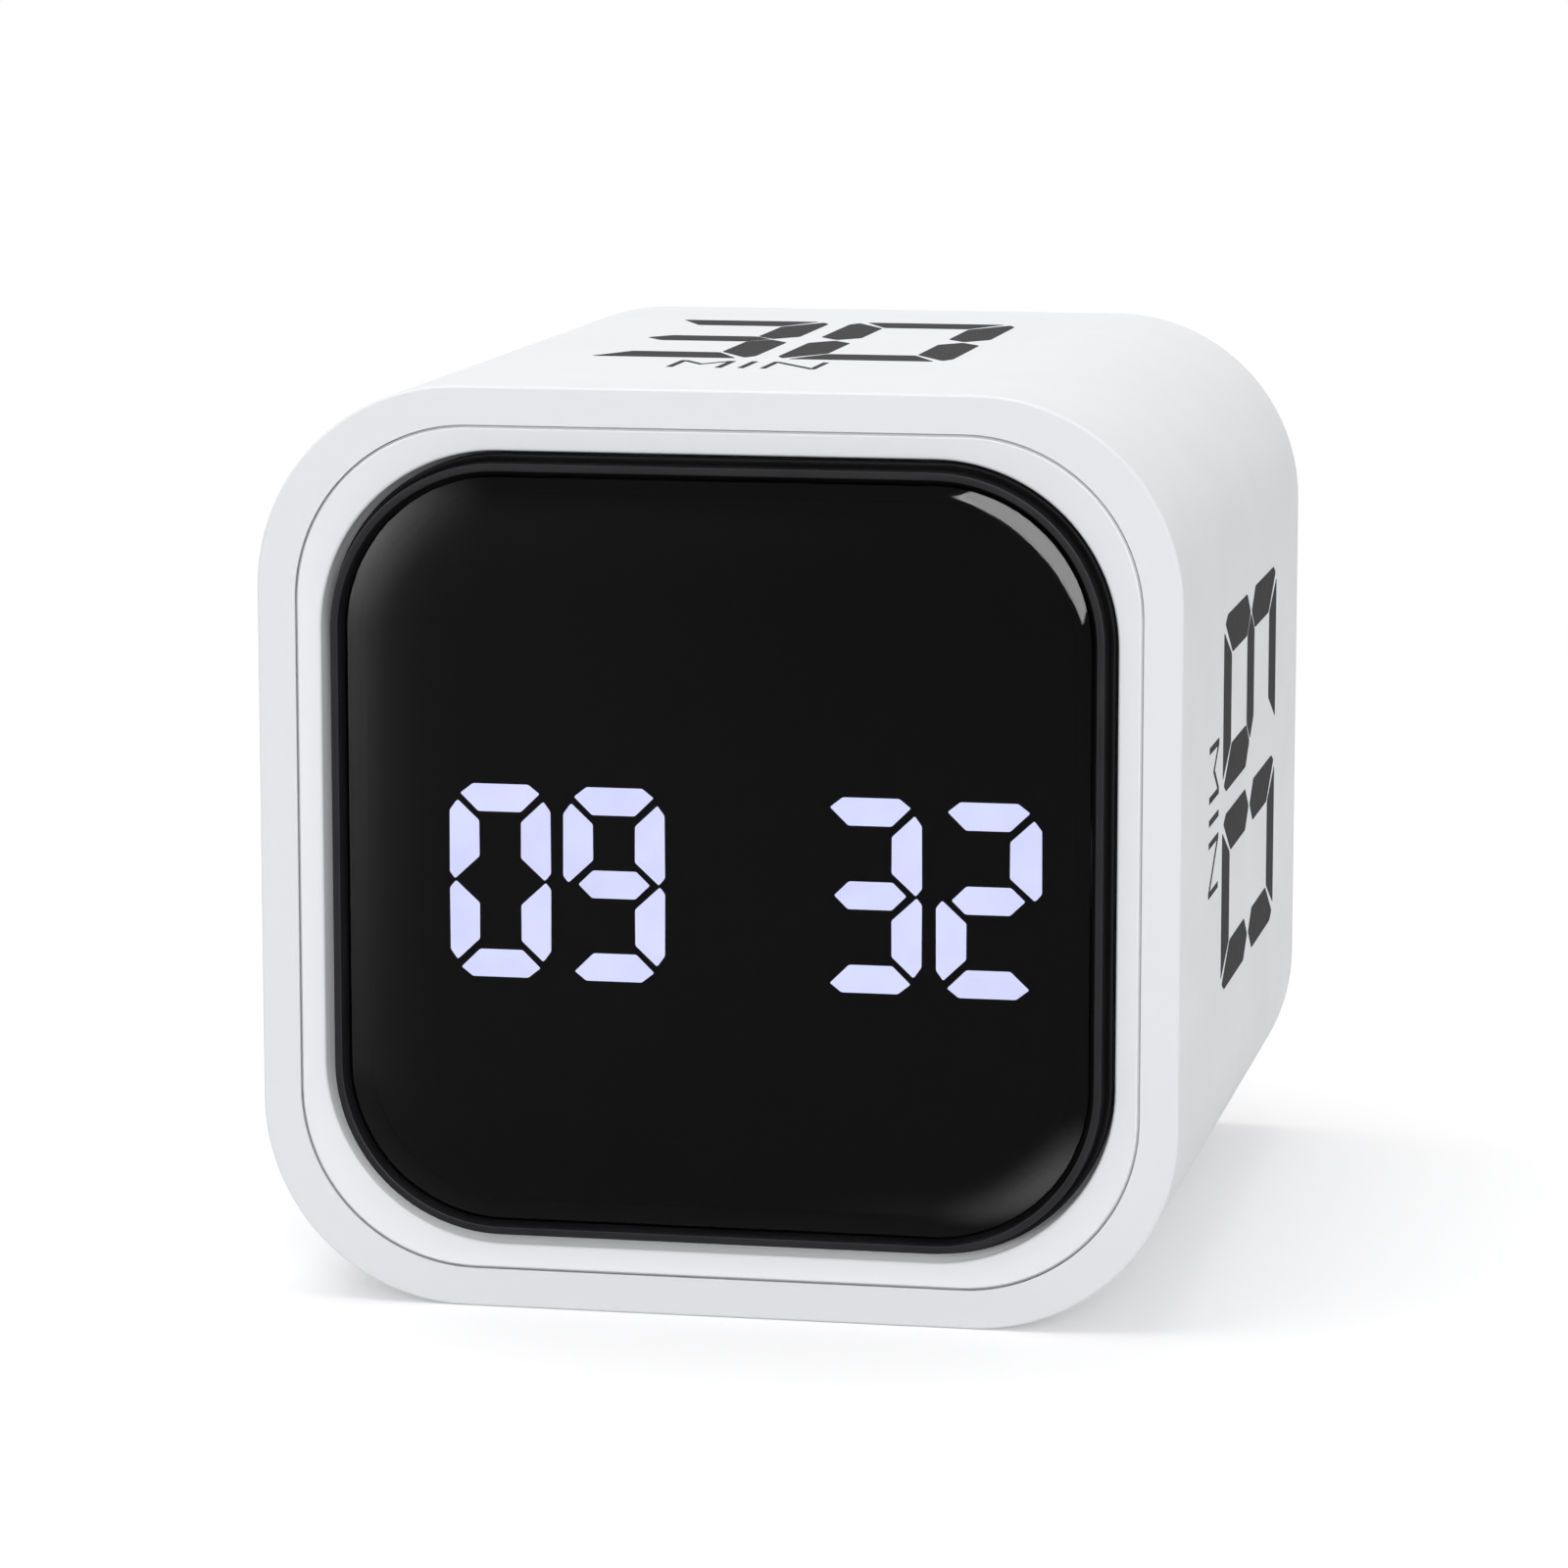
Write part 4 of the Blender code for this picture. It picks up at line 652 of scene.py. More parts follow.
def weigh_rims(mesh: BMesh, sections: Sequence[Section], width: float) -> None:
    """Marks only the edges that lie on the sections' outlines, each with its section's round.

    Args:
        mesh: The finished mesh.
        sections: The outlines whose edges are rounded.
        width: The widest edge round, which the bevel modifier is given.
    """
    weigh(mesh, mesh.edges, 0.0)
    for section in sections:
        rim = [
            edge for edge in mesh.edges
            if all(section.away(vert.co) < ON_OUTLINE for vert in edge.verts)
        ]
        weigh(mesh, rim, section.edge / width)


def ring_mesh(sections: Sequence[Section], width: float) -> BMesh:
    """Extrudes one section through the others and back to the first, into one closed ring.

    Args:
        sections: The ring's corners, as they follow one another round its wall.
        width: The widest edge round, which the bevel modifier is given.

    Returns:
        The finished mesh.
    """
    mesh = new_mesh()
    face = add_section(mesh, sections[0])
    loop = list(face.edges)
    bmesh.ops.delete(mesh, geom=[face], context="FACES_ONLY")
    for near, far in zip(sections, [*sections[1:], sections[0]]):
        grown = bmesh.ops.extrude_edge_only(mesh, edges=loop)["geom"]
        verts = {item for item in grown if isinstance(item, BMVert)}
        loop = [item for item in grown if isinstance(item, BMEdge) and verts.issuperset(item.verts)]
        for vert in verts:
            vert.co = near.moved(vert.co, far)
    bmesh.ops.remove_doubles(mesh, verts=mesh.verts, dist=SAME_IN_RING)
    weigh_rims(mesh, sections, width)
    return mesh


def quarter_arc(centre: Point, reach: Point, steps: int) -> list[Point]:
    """Returns a quarter ellipse of a spun profile, from its rearmost point out to its side.

    Args:
        centre: Its middle, as (radius, depth).
        reach: Its two half axes, across and along the depth.
        steps: Facets of the quarter.

    Returns:
        Points as (radius, depth).
    """
    turns = [math.tau / 4 * step / steps for step in range(steps + 1)]
    return [
        (centre[0] + reach[0] * math.sin(turn), centre[1] + reach[1] * math.cos(turn)) for turn in turns
    ]


def add_turned(mesh: BMesh, profile: Sequence[Point], centre: Point, steps: int) -> None:
    """Spins a profile of (radius, depth) points about a depth axis into a closed solid.

    Args:
        mesh: The mesh that is being built.
        profile: Points from the axis outwards and back to the axis.
        centre: The axis, as (x, z).
        steps: Facets round the axis.
    """
    x, z = centre
    verts = [mesh.verts.new((x + radius, depth, z)) for radius, depth in profile]
    edges = [mesh.edges.new(pair) for pair in zip(verts, verts[1:])]
    bmesh.ops.spin(
        mesh, geom=verts + edges, cent=(x, 0, z), axis=(0, 1, 0), angle=math.tau, steps=steps,
        use_merge=True,
    )
    bmesh.ops.remove_doubles(mesh, verts=mesh.verts, dist=SAME_POINT)


def add_prism(mesh: BMesh, corners: Sequence[Point], depths: Point, radius: float = 0.0) -> None:
    """Adds a flat prism across the depth.

    Args:
        mesh: The mesh that is being built.
        corners: The outline, as (x, z) points.
        depths: Depths of its front and its rear face.
        radius: How far each corner is rounded.
    """
    front, rear = depths
    verts = [mesh.verts.new((x, front, z)) for x, z in corners]
    face = mesh.faces.new(verts)
    if radius:
        face = rounded_face(mesh, verts, radius, SEGMENT_STEPS)
    deepen(mesh, [face], rear - front)


def add_block(mesh: BMesh, centre: Point, size: Point, depths: Point, edge: float = 0.0) -> None:
    """Adds a block.

    Args:
        mesh: The mesh that is being built.
        centre: Its middle, as (x, z).
        size: Its width and height.
        depths: Depths of its front and its rear face.
        edge: How far its edges are rounded.
    """
    front, rear = depths
    place = Matrix.Translation((centre[0], (front + rear) / 2, centre[1]))
    place = place @ Matrix.Diagonal((size[0], rear - front, size[1], 1))
    verts = bmesh.ops.create_cube(mesh, size=1.0, matrix=place)["verts"]
    if edge:
        edges = list({line for vert in verts for line in vert.link_edges})
        bmesh.ops.bevel(
            mesh, geom=edges, offset=edge, offset_type="OFFSET", segments=BLOCK_STEPS, profile=0.5,
            affect="EDGES", material=-1,
        )


def add_word(
    mesh: BMesh, word: str, size: Point, centre: Point, thickness: float, thinner: float = 0.0
) -> None:
    """Adds a word as a thin slab that goes from depth 0 to the rear.

    Args:
        mesh: The mesh that is being built.
        word: Its letters.
        size: Width and height of the whole word.
        centre: Its middle, as (x, z).
        thickness: The slab's thickness.
        thinner: How much thinner the strokes are made, as a share of the font's size.
    """
    curve = bpy.data.curves.new("word", "FONT")
    curve.body, curve.offset, curve.resolution_u = word, -thinner, LETTER_STEPS
    carrier = add_object("word", curve)
    flat = bpy.data.meshes.new_from_object(carrier)
    bpy.data.objects.remove(carrier)
    bpy.data.curves.remove(curve)
    letters = new_mesh()
    letters.from_mesh(flat)
    bmesh.ops.remove_doubles(letters, verts=letters.verts, dist=SAME_POINT)
    low, high = (
        Vector([end(vert.co[axis] for vert in letters.verts) for axis in range(3)])
        for end in (min, max)
    )
    reach = high - low
    fit = Matrix.Diagonal((size[0] / reach.x, size[1] / reach.y, 1, 1))
    place = FACE_FRONT @ fit @ Matrix.Translation(-(low + high) / 2)
    bmesh.ops.transform(letters, matrix=place, verts=letters.verts)
    bmesh.ops.translate(letters, verts=letters.verts, vec=(centre[0], 0, centre[1]))
    deepen(letters, letters.faces[:], thickness)
    bmesh.ops.recalc_face_normals(letters, faces=letters.faces)
    letters.to_mesh(flat)
    letters.free()
    mesh.from_mesh(flat)
    bpy.data.meshes.remove(flat)


@dataclass
class Piece:
    """A new piece of the timer.

    slot: the record's material slot, which is not used; body: what it rides on; replaces: the solids that
    it stands for; width and steps: the finishing bevel's widest round and its facets, where it has one.
    """

    name: str
    finish: Finish
    slot: str
    body: Body = Body.CASE
    replaces: tuple[str, ...] = ()
    width: float = 0.0
    steps: int = 5
    flat_faces: bool = True

    def make(self, mesh: BMesh, place: Matrix = PLACE) -> Object:
        """Turns a finished mesh into the piece's object.

        Args:
            mesh: The mesh in the maker's frame; it is freed.
            place: What brings it into the shared frame.

        Returns:
            The object, at the origin and riding on its body.
        """
        bmesh.ops.recalc_face_normals(mesh, faces=mesh.faces)
        piece = mesh_object(self.name, mesh, place)
        piece.data.shade_smooth()
        piece.data.materials.append(self.finish.material())
        if self.width:
            bevel = piece.modifiers.new("edge_rounds", "BEVEL")
            bevel.limit_method, bevel.width, bevel.segments = "WEIGHT", self.width * MM, self.steps
            bevel.profile, bevel.use_clamp_overlap = 0.5, False
        if self.flat_faces:
            piece.modifiers.new("flat_faces", "WEIGHTED_NORMAL").weight = FLAT_FACE_WEIGHT
        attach(piece, self.body.value)
        if self.replaces:
            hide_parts(*self.replaces)
        LOG.info("%s: %d faces, %s", self.name, len(piece.data.polygons), self.finish.name)
        return piece


# Sub-assemblies


@dataclass
class Housing:
    """The white moulded sleeve: four flat sides with wide round corners, open at both ends."""

    half: float = 30.0 - SKIN
    radius: float = 13.3
    depth: float = 65.5
    mouth_half: float = 27.49
    mouth_radius: float = 11.47
    rear_mouth_half: float = 27.45
    wall_half: float = 27.6
    front_edge: float = 0.2
    rear_edge: float = 1.2
    lip_edge: float = 0.05
    lip_depth: float = 4.2

    def build(self) -> None:
        """Makes the sleeve as one closed ring, from the front lip out and round to the inside."""
        radius, ledge = self.mouth_radius, self.depth - self.lip_depth
        sections = [
            Section(self.mouth_half, radius, 0, self.lip_edge),
            Section(self.half, self.radius, 0, self.front_edge),
            Section(self.half, self.radius, self.depth, self.rear_edge),
            Section(self.rear_mouth_half, radius, self.depth, self.lip_edge),
            Section(self.rear_mouth_half, radius, ledge),
            Section(self.wall_half, radius, ledge),
            Section(self.wall_half, radius, self.lip_depth),
            Section(self.mouth_half, radius, self.lip_depth),
        ]
        Piece(
            "housing_sleeve", SATIN_ABS, "white_plastic", replaces=("main_housing",),
            width=self.rear_edge, steps=8,
        ).make(ring_mesh(sections, self.rear_edge))


@dataclass
class FrontFrame:
    """The white frame set in the front mouth: it slopes in from the seam to the window."""

    half: float = 27.33
    radius: float = 11.31
    seam_depth: float = 0.2
    seam_gap: float = 0.14
    window_half: float = 25.85
    window_radius: float = 11.75
    slope: float = 0.3
    depth: float = 9.6
    skirt_half: float = 26.3
    skirt_radius: float = 10.6
    skirt_wall: Point = (1.5, 1.2)
    skirt_edge: float = 0.1
    seat_depth: float = 3.3
    seat_width: float = 2.4
    seat_thickness: float = 0.6
    seam_edge: float = 0.13
    window_edge: float = 0.2

    def build(self) -> None:
        """Makes the frame as one closed ring, from the window out, and back under the lens's seat."""
        outer = (self.half + self.seam_gap, self.radius + self.seam_gap)
        skirt = (self.skirt_half, self.skirt_radius)
        inner = (self.skirt_half - self.skirt_wall[0], self.skirt_radius - self.skirt_wall[1])
        window = (self.window_half, self.window_radius)
        seat = (self.window_half - self.seat_width, self.window_radius - self.seat_width)
        seat_rear = self.seat_depth + self.seat_thickness
        sections = [
            Section(*window, self.slope, self.window_edge),
            Section(self.half, self.radius, 0, self.seam_edge),
            Section(self.half, self.radius, self.seam_depth),
            Section(*outer, self.seam_depth),
            Section(*outer, self.seat_depth),
            Section(*skirt, self.seat_depth),
            Section(*skirt, self.depth, self.skirt_edge),
            Section(*inner, self.depth, self.skirt_edge),
            Section(*inner, seat_rear),
            Section(*seat, seat_rear),
            Section(*seat, self.seat_depth),
            Section(*window, self.seat_depth),
        ]
        Piece(
            "front_frame_ring", SATIN_ABS, "white_plastic", replaces=("front_frame",),
            width=self.seam_edge,
        ).make(ring_mesh(sections, self.seam_edge))


@dataclass
class Bezel:
    """The black ring round the lens: a foot in the moat, a flank and a rounded crest."""

    foot_half: float = 25.55
    foot_radius: float = 11.45
    foot_edge: float = 0.08
    half: float = 25.10
    radius: float = 11.0
    inner_half: float = 24.57
    inner_radius: float = 10.47
    opening_half: float = 22.9
    opening_radius: float = 8.8
    crest: float = -0.3
    moat: float = 1.7
    rear: float = 3.0
    crest_edge: float = 0.1

    def build(self) -> None:
        """Makes the ring as one closed profile."""
        sections = [
            Section(self.foot_half, self.foot_radius, self.rear),
            Section(self.foot_half, self.foot_radius, self.moat, self.foot_edge),
            Section(self.half, self.radius, self.moat),
            Section(self.half, self.radius, self.crest, self.crest_edge),
            Section(self.inner_half, self.inner_radius, self.crest, self.crest_edge),
            Section(self.inner_half, self.inner_radius, self.moat),
            Section(self.opening_half, self.opening_radius, self.moat, self.foot_edge),
            Section(self.opening_half, self.opening_radius, self.rear),
        ]
        Piece(
            "bezel_crest_ring", BLACK_ABS, "black_plastic", replaces=("bezel_ring",),
            width=self.crest_edge, steps=6,
        ).make(ring_mesh(sections, self.crest_edge))


@dataclass
class DisplayLens:
    """The domed smoked lens: flat in the middle, falling away over its last ten millimetres."""

    half: float = 24.24
    radius: float = 10.14
    rear: float = 1.4
    edge_depth: float = 0.2
    crown: float = -0.6
    fall: float = 10.1
    power: float = 5.0
    rings: int = 56
    ring_crowding: float = 1.25
    rim_edge: float = 0.06

    def height(self, inward: float) -> float:
        """Returns how far the dome stands over its edge at a distance in from the edge."""
        rest = 1 - min(inward / self.fall, 1)
        return (self.edge_depth - self.crown) * (1 - rest**self.power)

    def build(self) -> None:
        """Makes the lens by insetting its front face ring by ring up the dome."""
        mesh = new_mesh()
        back = Section(self.half, self.radius, self.rear, self.rim_edge / 2)
        brim = Section(self.half, self.radius, self.edge_depth, self.rim_edge)
        crown = deepen(mesh, [add_section(mesh, back)], self.edge_depth - self.rear)
        bmesh.ops.recalc_face_normals(mesh, faces=mesh.faces)
        stops = [self.fall * (ring / self.rings) ** self.ring_crowding for ring in range(self.rings + 1)]
        for near, far in zip(stops, stops[1:]):
            bmesh.ops.inset_region(
                mesh, faces=[crown], thickness=far - near, depth=self.height(far) - self.height(near),
                use_even_offset=True, use_boundary=True,
            )
        weigh_rims(mesh, [back, brim], self.rim_edge)
        Piece(
            "domed_lens", ACRYLIC, "black_lens", replaces=("display_lens",),
            width=self.rim_edge, steps=4, flat_faces=False,
        ).make(mesh)


@dataclass(frozen=True)
class SegmentSet:
    """The corners of a seven-segment digit, each kind of segment given once and mirrored.

    top: the right half of the top bar; upright: the upper right upright; middle: the right half
    of the middle bar's upper edge, from its point inwards.
    """

    top: tuple[Point, ...]
    upright: tuple[Point, ...]
    middle: tuple[Point, ...]

    def outline(self, letter: str) -> list[Point]:
        """Returns one segment's corners.

        Args:
            letter: The usual letter, from a at the top clockwise to f, and g in the middle.

        Returns:
            Points about the digit's own middle.
        """
        if letter in "ad":
            turn = 1 if letter == "a" else -1
            right = [(x, z * turn) for x, z in self.top]
            return right + [(-x, z) for x, z in reversed(right)]
        if letter == "g":
            upper = list(self.middle)
            lower = [(x, -z) for x, z in reversed(upper) if z]
            left = [(-x, z) for x, z in reversed(upper)] + [(-x, z) for x, z in reversed(lower)]
            return upper + left + lower
        across = 1 if letter in "bc" else -1
        up = 1 if letter in "bf" else -1
        return [(x * across, z * up) for x, z in self.upright]

    def add_digit(
        self, mesh: BMesh, number: str, centre: Point, depths: Point, radius: float
    ) -> None:
        """Adds one digit as a group of flat prisms.

        Args:
            mesh: The mesh that is being built.
            number: The digit.
            centre: Its middle, as (x, z).
            depths: Depths of its front and its rear face.
            radius: How far each corner of a segment is rounded.
        """
        for letter in SEGMENTS_OF[number]:
            corners = [(centre[0] + right, centre[1] + up) for right, up in self.outline(letter)]
            add_prism(mesh, corners, depths, radius)


SEGMENTS_OF = {
    "0": "abcdef", "1": "bc", "2": "abged", "3": "abgcd", "5": "afgcd", "6": "afgedc", "9": "abcdfg",
}
LIT_SHAPE = SegmentSet(
    top=((1.40, 4.535), (2.58, 5.69), (1.83, 6.28)),
    upright=((1.41, 1.53), (2.97, 0.09), (3.31, 0.52), (3.29, 4.56), (2.83, 5.20), (1.42, 3.87)),
    middle=((2.31, 0.0), (1.42, 0.87)),
)
PRINT_SHAPE = SegmentSet(
    top=((3.0, 10.75), (4.95, 14.95)),
    upright=((3.06, 2.15), (4.45, 0.3), (5.94, 2.35), (5.94, 13.1), (5.42, 14.35), (3.06, 10.3)),
    middle=((4.35, 0.0), (3.0, 2.0)),
)


@dataclass
class LitDisplay:
    """The lit digits behind the lens, each a group of thin diffusing segments.

    The centres are where the camera sees each digit through the lens, so they allow for the
    lens's bend of the light.
    """

    depths: Point = (2.05, 2.4)
    round_off: float = 0.1
    digits: tuple[tuple[str, str, Point], ...] = (
        ("tens_of_minutes", "0", (-14.37, -2.12)), ("minutes", "9", (-6.87, -2.16)),
        ("tens_of_seconds", "3", (9.84, -2.30)), ("seconds", "2", (17.43, -2.39)),
    )

    def build(self) -> None:
        """Makes one piece for each digit, which lights nothing round it."""
        for name, number, centre in self.digits:
            mesh = new_mesh()
            LIT_SHAPE.add_digit(mesh, number, centre, self.depths, self.round_off)
            piece = Piece(f"lit_{name}", LIT_FILM, "diffusing_film").make(mesh)
            piece.visible_diffuse = piece.visible_glossy = False


@dataclass
class PresetPrint:
    """The printed minutes of one side face: tall segment numbers over a short word.

    The print is laid out flat as a front face, reading upright, and then swung onto its side.
    offset: the shift of the whole print, along the reading direction and along the depth.
    """

    side: Side
    number: str
    offset: Point
    pitch: float = 13.4
    round_off: float = 0.25
    word_size: Point = (10.0, 5.0)
    word_below: float = 19.6
    word_thinner: float = 0.012
    thickness: float = 0.03
    middle: float = 36.8
    surface: float = 29.998

    def build(self) -> None:
        """Makes the print as one piece of thin ink slabs."""
        mesh = new_mesh()
        start = -self.pitch * (len(self.number) - 1) / 2
        for place, number in enumerate(self.number):
            centre = (start + place * self.pitch, 0)
            PRINT_SHAPE.add_digit(mesh, number, centre, (0, self.thickness), self.round_off)
        below = (0, -self.word_below)
        add_word(mesh, "MIN", self.word_size, below, self.thickness, self.word_thinner)
        across, along = self.offset
        lay_down = Matrix.Rotation(math.radians(-90), 4, "X")
        onto_top = Matrix.Translation((across, self.middle + along, self.surface)) @ lay_down
        swing = Matrix.Rotation(math.radians(self.side.value), 4, "Y")
        name = f"print_{self.side.name.lower()}_{self.number}"
        Piece(name, PAD_INK, "black_plastic").make(mesh, PLACE @ swing @ onto_top)


@dataclass
class PushButton:
    """A round rear key with a dished cap and a flange that keeps it behind the cover."""

    node: str
    body: Body
    centre: Point
    radius: float = 3.5
    rear: float = 65.1
    rim: float = 0.35
    rim_steps: int = 6
    dish: float = 0.28
    dish_margin: float = 0.75
    dish_stops: tuple[float, ...] = (0.2, 0.4, 0.6, 0.8, 0.92, 1.0)
    flange: float = 1.0
    flange_edge: float = 0.1
    flange_rear: float = 61.8
    flange_front: float = 59.9
    steps: int = 64

    def build(self) -> None:
        """Makes the key by spinning its profile."""
        dish = self.radius - self.dish_margin
        profile = [(0.0, self.rear - self.dish)]
        profile += [(dish * stop, self.rear - self.dish * (1 - stop**2)) for stop in self.dish_stops]
        shoulder = (self.radius - self.rim, self.rear - self.rim)
        profile += quarter_arc(shoulder, (self.rim, self.rim), self.rim_steps)
        lip = self.radius + self.flange
        profile += [
            (self.radius, self.flange_rear + self.flange_edge),
            (self.radius + self.flange_edge, self.flange_rear),
            (lip - self.flange_edge, self.flange_rear),
            (lip, self.flange_rear - self.flange_edge),
            (lip, self.flange_front),
            (0.0, self.flange_front),
        ]
        mesh = new_mesh()
        add_turned(mesh, profile, self.centre, self.steps)
        Piece(f"{self.node}_cap", GREY_ABS, "gray_plastic", self.body, (self.node,)).make(mesh)


@dataclass
class SoundSlider:
    """The sound slider: a shield behind the cover and a ribbed grip through its slot."""

    centre: Point = (-12.0, -6.0)
    shield: Point = (12.4, 5.2)
    shield_depths: Point = (61.0, 61.8)
    shield_edge: float = 0.12
    grip: Point = (4.0, 3.0)
    grip_front: float = 59.0
    grip_edge: float = 0.18
    rear: float = 64.9
    ribs: int = 5
    rib_height: float = 0.35
    rib_root: float = 0.1
    rib_width: float = 0.48
    rib_length: float = 2.7
    rib_edge: float = 0.1

    def build(self) -> None:
        """Makes the shield, the stem and the grip's ribs as one moulding."""
        mesh = new_mesh()
        x, z = self.centre
        top = self.rear - self.rib_height
        add_block(mesh, self.centre, self.shield, self.shield_depths, self.shield_edge)
        add_block(mesh, self.centre, self.grip, (self.grip_front, top), self.grip_edge)
        pitch = self.grip[0] / self.ribs
        for number in range(self.ribs):
            centre = (x + pitch * (number + 0.5) - self.grip[0] / 2, z)
            depths = (top - self.rib_root, self.rear)
            add_block(mesh, centre, (self.rib_width, self.rib_length), depths, self.rib_edge)
        Piece("sound_slider_grip", GREY_ABS, "gray_plastic", Body.SLIDER, ("sound_slider",)).make(mesh)


@dataclass
class ChargingSocket:
    """The charging socket: a drawn steel shell, its black tongue and a row of gold contacts."""

    centre: Point = (0.0, -16.9)
    size: Point = (8.94, 3.27)
    wall: float = 0.3
    corner_share: float = 0.94
    corner_steps: int = 12
    mouth_edge: float = 0.1
    front: float = 55.7
    rear: float = 63.9
    floor: float = 57.7
    tongue: Point = (6.2, 0.7)
    tongue_depths: Point = (57.65, 63.0)
    tongue_edge: float = 0.15
    contacts: int = 6
    contact_share: float = 0.4
    contact_thickness: float = 0.04
    contact_lift: float = 0.01
    contact_depths: Point = (57.9, 62.6)

    def outline(self, mesh: BMesh, inset: float, depth: float) -> BMFace:
        """Adds the shell's outline as a face.

        Args:
            mesh: The mesh that is being built.
            inset: How far the outline is drawn in.
            depth: Where the face lies.

        Returns:
            The face.
        """
        x, z = self.centre
        half, tall = self.size[0] / 2 - inset, self.size[1] / 2 - inset
        corners = [(-half, -tall), (half, -tall), (half, tall), (-half, tall)]
        verts = [mesh.verts.new((x + right, depth, z + up)) for right, up in corners]
        mesh.faces.new(verts)
        return rounded_face(mesh, verts, tall * self.corner_share, self.corner_steps)

    def build(self) -> None:
        """Makes the shell with its rolled mouth, the tongue and the contacts."""
        mesh = new_mesh()
        stops = [(self.wall, self.floor), (self.wall, self.rear), (0.0, self.rear), (0.0, self.front)]
        faces = [self.outline(mesh, inset, depth) for inset, depth in stops]
        loops = [list(face.edges) for face in faces]
        bmesh.ops.delete(mesh, geom=faces[1:3], context="FACES_ONLY")
        for near, far in zip(loops, loops[1:]):
            bmesh.ops.bridge_loops(mesh, edges=near + far)
        for loop in loops[1:3]:
            weigh(mesh, loop, 1.0)
        Piece(
            "usb_shell", PLATED, "plated_steel", replaces=("usb_socket",),
            width=self.mouth_edge, steps=3,
        ).make(mesh)
        mesh = new_mesh()
        add_block(mesh, self.centre, self.tongue, self.tongue_depths, self.tongue_edge)
        Piece("usb_tongue", BLACK_ABS, "black_plastic").make(mesh)
        self.build_contacts()

    def build_contacts(self) -> None:
        """Makes a row of contacts on either face of the tongue."""
        mesh = new_mesh()
        x, z = self.centre
        pitch = self.tongue[0] / self.contacts
        size = (pitch * self.contact_share, self.contact_thickness)
        lift = self.tongue[1] / 2 + self.contact_lift
        for number in range(self.contacts):
            across = x + pitch * (number + 0.5) - self.tongue[0] / 2
            for height in (z + lift, z - lift):
                add_block(mesh, (across, height), size, self.contact_depths)
        Piece("usb_contacts", GOLD, "plated_steel").make(mesh)


@dataclass
class CoverScrews:
    """The four rear screws: a rounded pan head with a cross recess over a plain shank."""

    places: tuple[Point, ...] = ((-20.4, -20.4), (-20.4, 20.4), (20.4, -20.4), (20.4, 20.4))
    head_radius: float = 1.9
    head_rear: float = 64.2
    head_front: float = 63.3
    head_steps: int = 48
    dome_share: float = 0.45
    dome_rise: float = 0.7
    dome_steps: int = 9
    shank_radius: float = 0.95
    tip: float = 54.3
    tip_length: float = 0.6
    cross_half: float = 1.05
    cross_wide: float = 0.26
    cross_depth: float = 0.5

    def profile(self) -> list[Point]:
        """Draws half of the screw: a domed head, its flat underside, the shank and the tip.

        Returns:
            Its points, as distance from the axis and depth.
        """
        dome = self.head_radius * self.dome_share
        rise = (self.head_rear - self.head_front) * self.dome_rise
        centre = (self.head_radius - dome, self.head_rear - rise)
        return [
            (0.0, self.head_rear), *quarter_arc(centre, (dome, rise), self.dome_steps),
            (self.head_radius, self.head_front), (self.shank_radius, self.head_front),
            (self.shank_radius, self.tip + self.tip_length), (0.0, self.tip),
        ]

    def build(self) -> None:
        """Makes each screw by spinning its profile, and lets the cross into its head."""
        for number, centre in enumerate(self.places, 1):
            mesh = new_mesh()
            add_turned(mesh, self.profile(), centre, self.head_steps)
            screw = Piece(
                f"cover_screw_head_{number}", ZINC, "zinc_screw", replaces=(f"cover_screw_{number}",)
            ).make(mesh)
            self.cut_recess(screw, *centre)

    def cut_recess(self, screw: Object, x: float, z: float) -> None:
        """Cuts the cross recess out of a head with a boolean, and applies it.

        Args:
            screw: The screw's object.
            x: Place of its axis across the cube.
            z: Height of its axis over the cube's middle.
        """
        mesh = new_mesh()
        long, wide = self.cross_half, self.cross_wide
        corners = [
            (wide, wide), (wide, long), (-wide, long), (-wide, wide), (-long, wide), (-long, -wide),
            (-wide, -wide), (-wide, -long), (wide, -long), (wide, -wide), (long, -wide), (long, wide),
        ]
        corners = [(x + right, z + up) for right, up in corners]
        add_prism(mesh, corners, (self.head_rear - self.cross_depth, self.head_rear + 1))
        bmesh.ops.recalc_face_normals(mesh, faces=mesh.faces)
        cross = mesh_object("cross", mesh, PLACE)
        cut = screw.modifiers.new("cross_recess", "BOOLEAN")
        cut.operation, cut.object, cut.solver = "DIFFERENCE", cross, "EXACT"
        screw.modifiers.move(len(screw.modifiers) - 1, 0)
        bpy.context.view_layer.update()
        seen = screw.evaluated_get(bpy.context.evaluated_depsgraph_get())
        old, screw.data = screw.data, bpy.data.meshes.new_from_object(seen)
        screw.modifiers.clear()
        data = cross.data
        bpy.data.objects.remove(cross)
        for spent in (old, data):
            bpy.data.meshes.remove(spent)


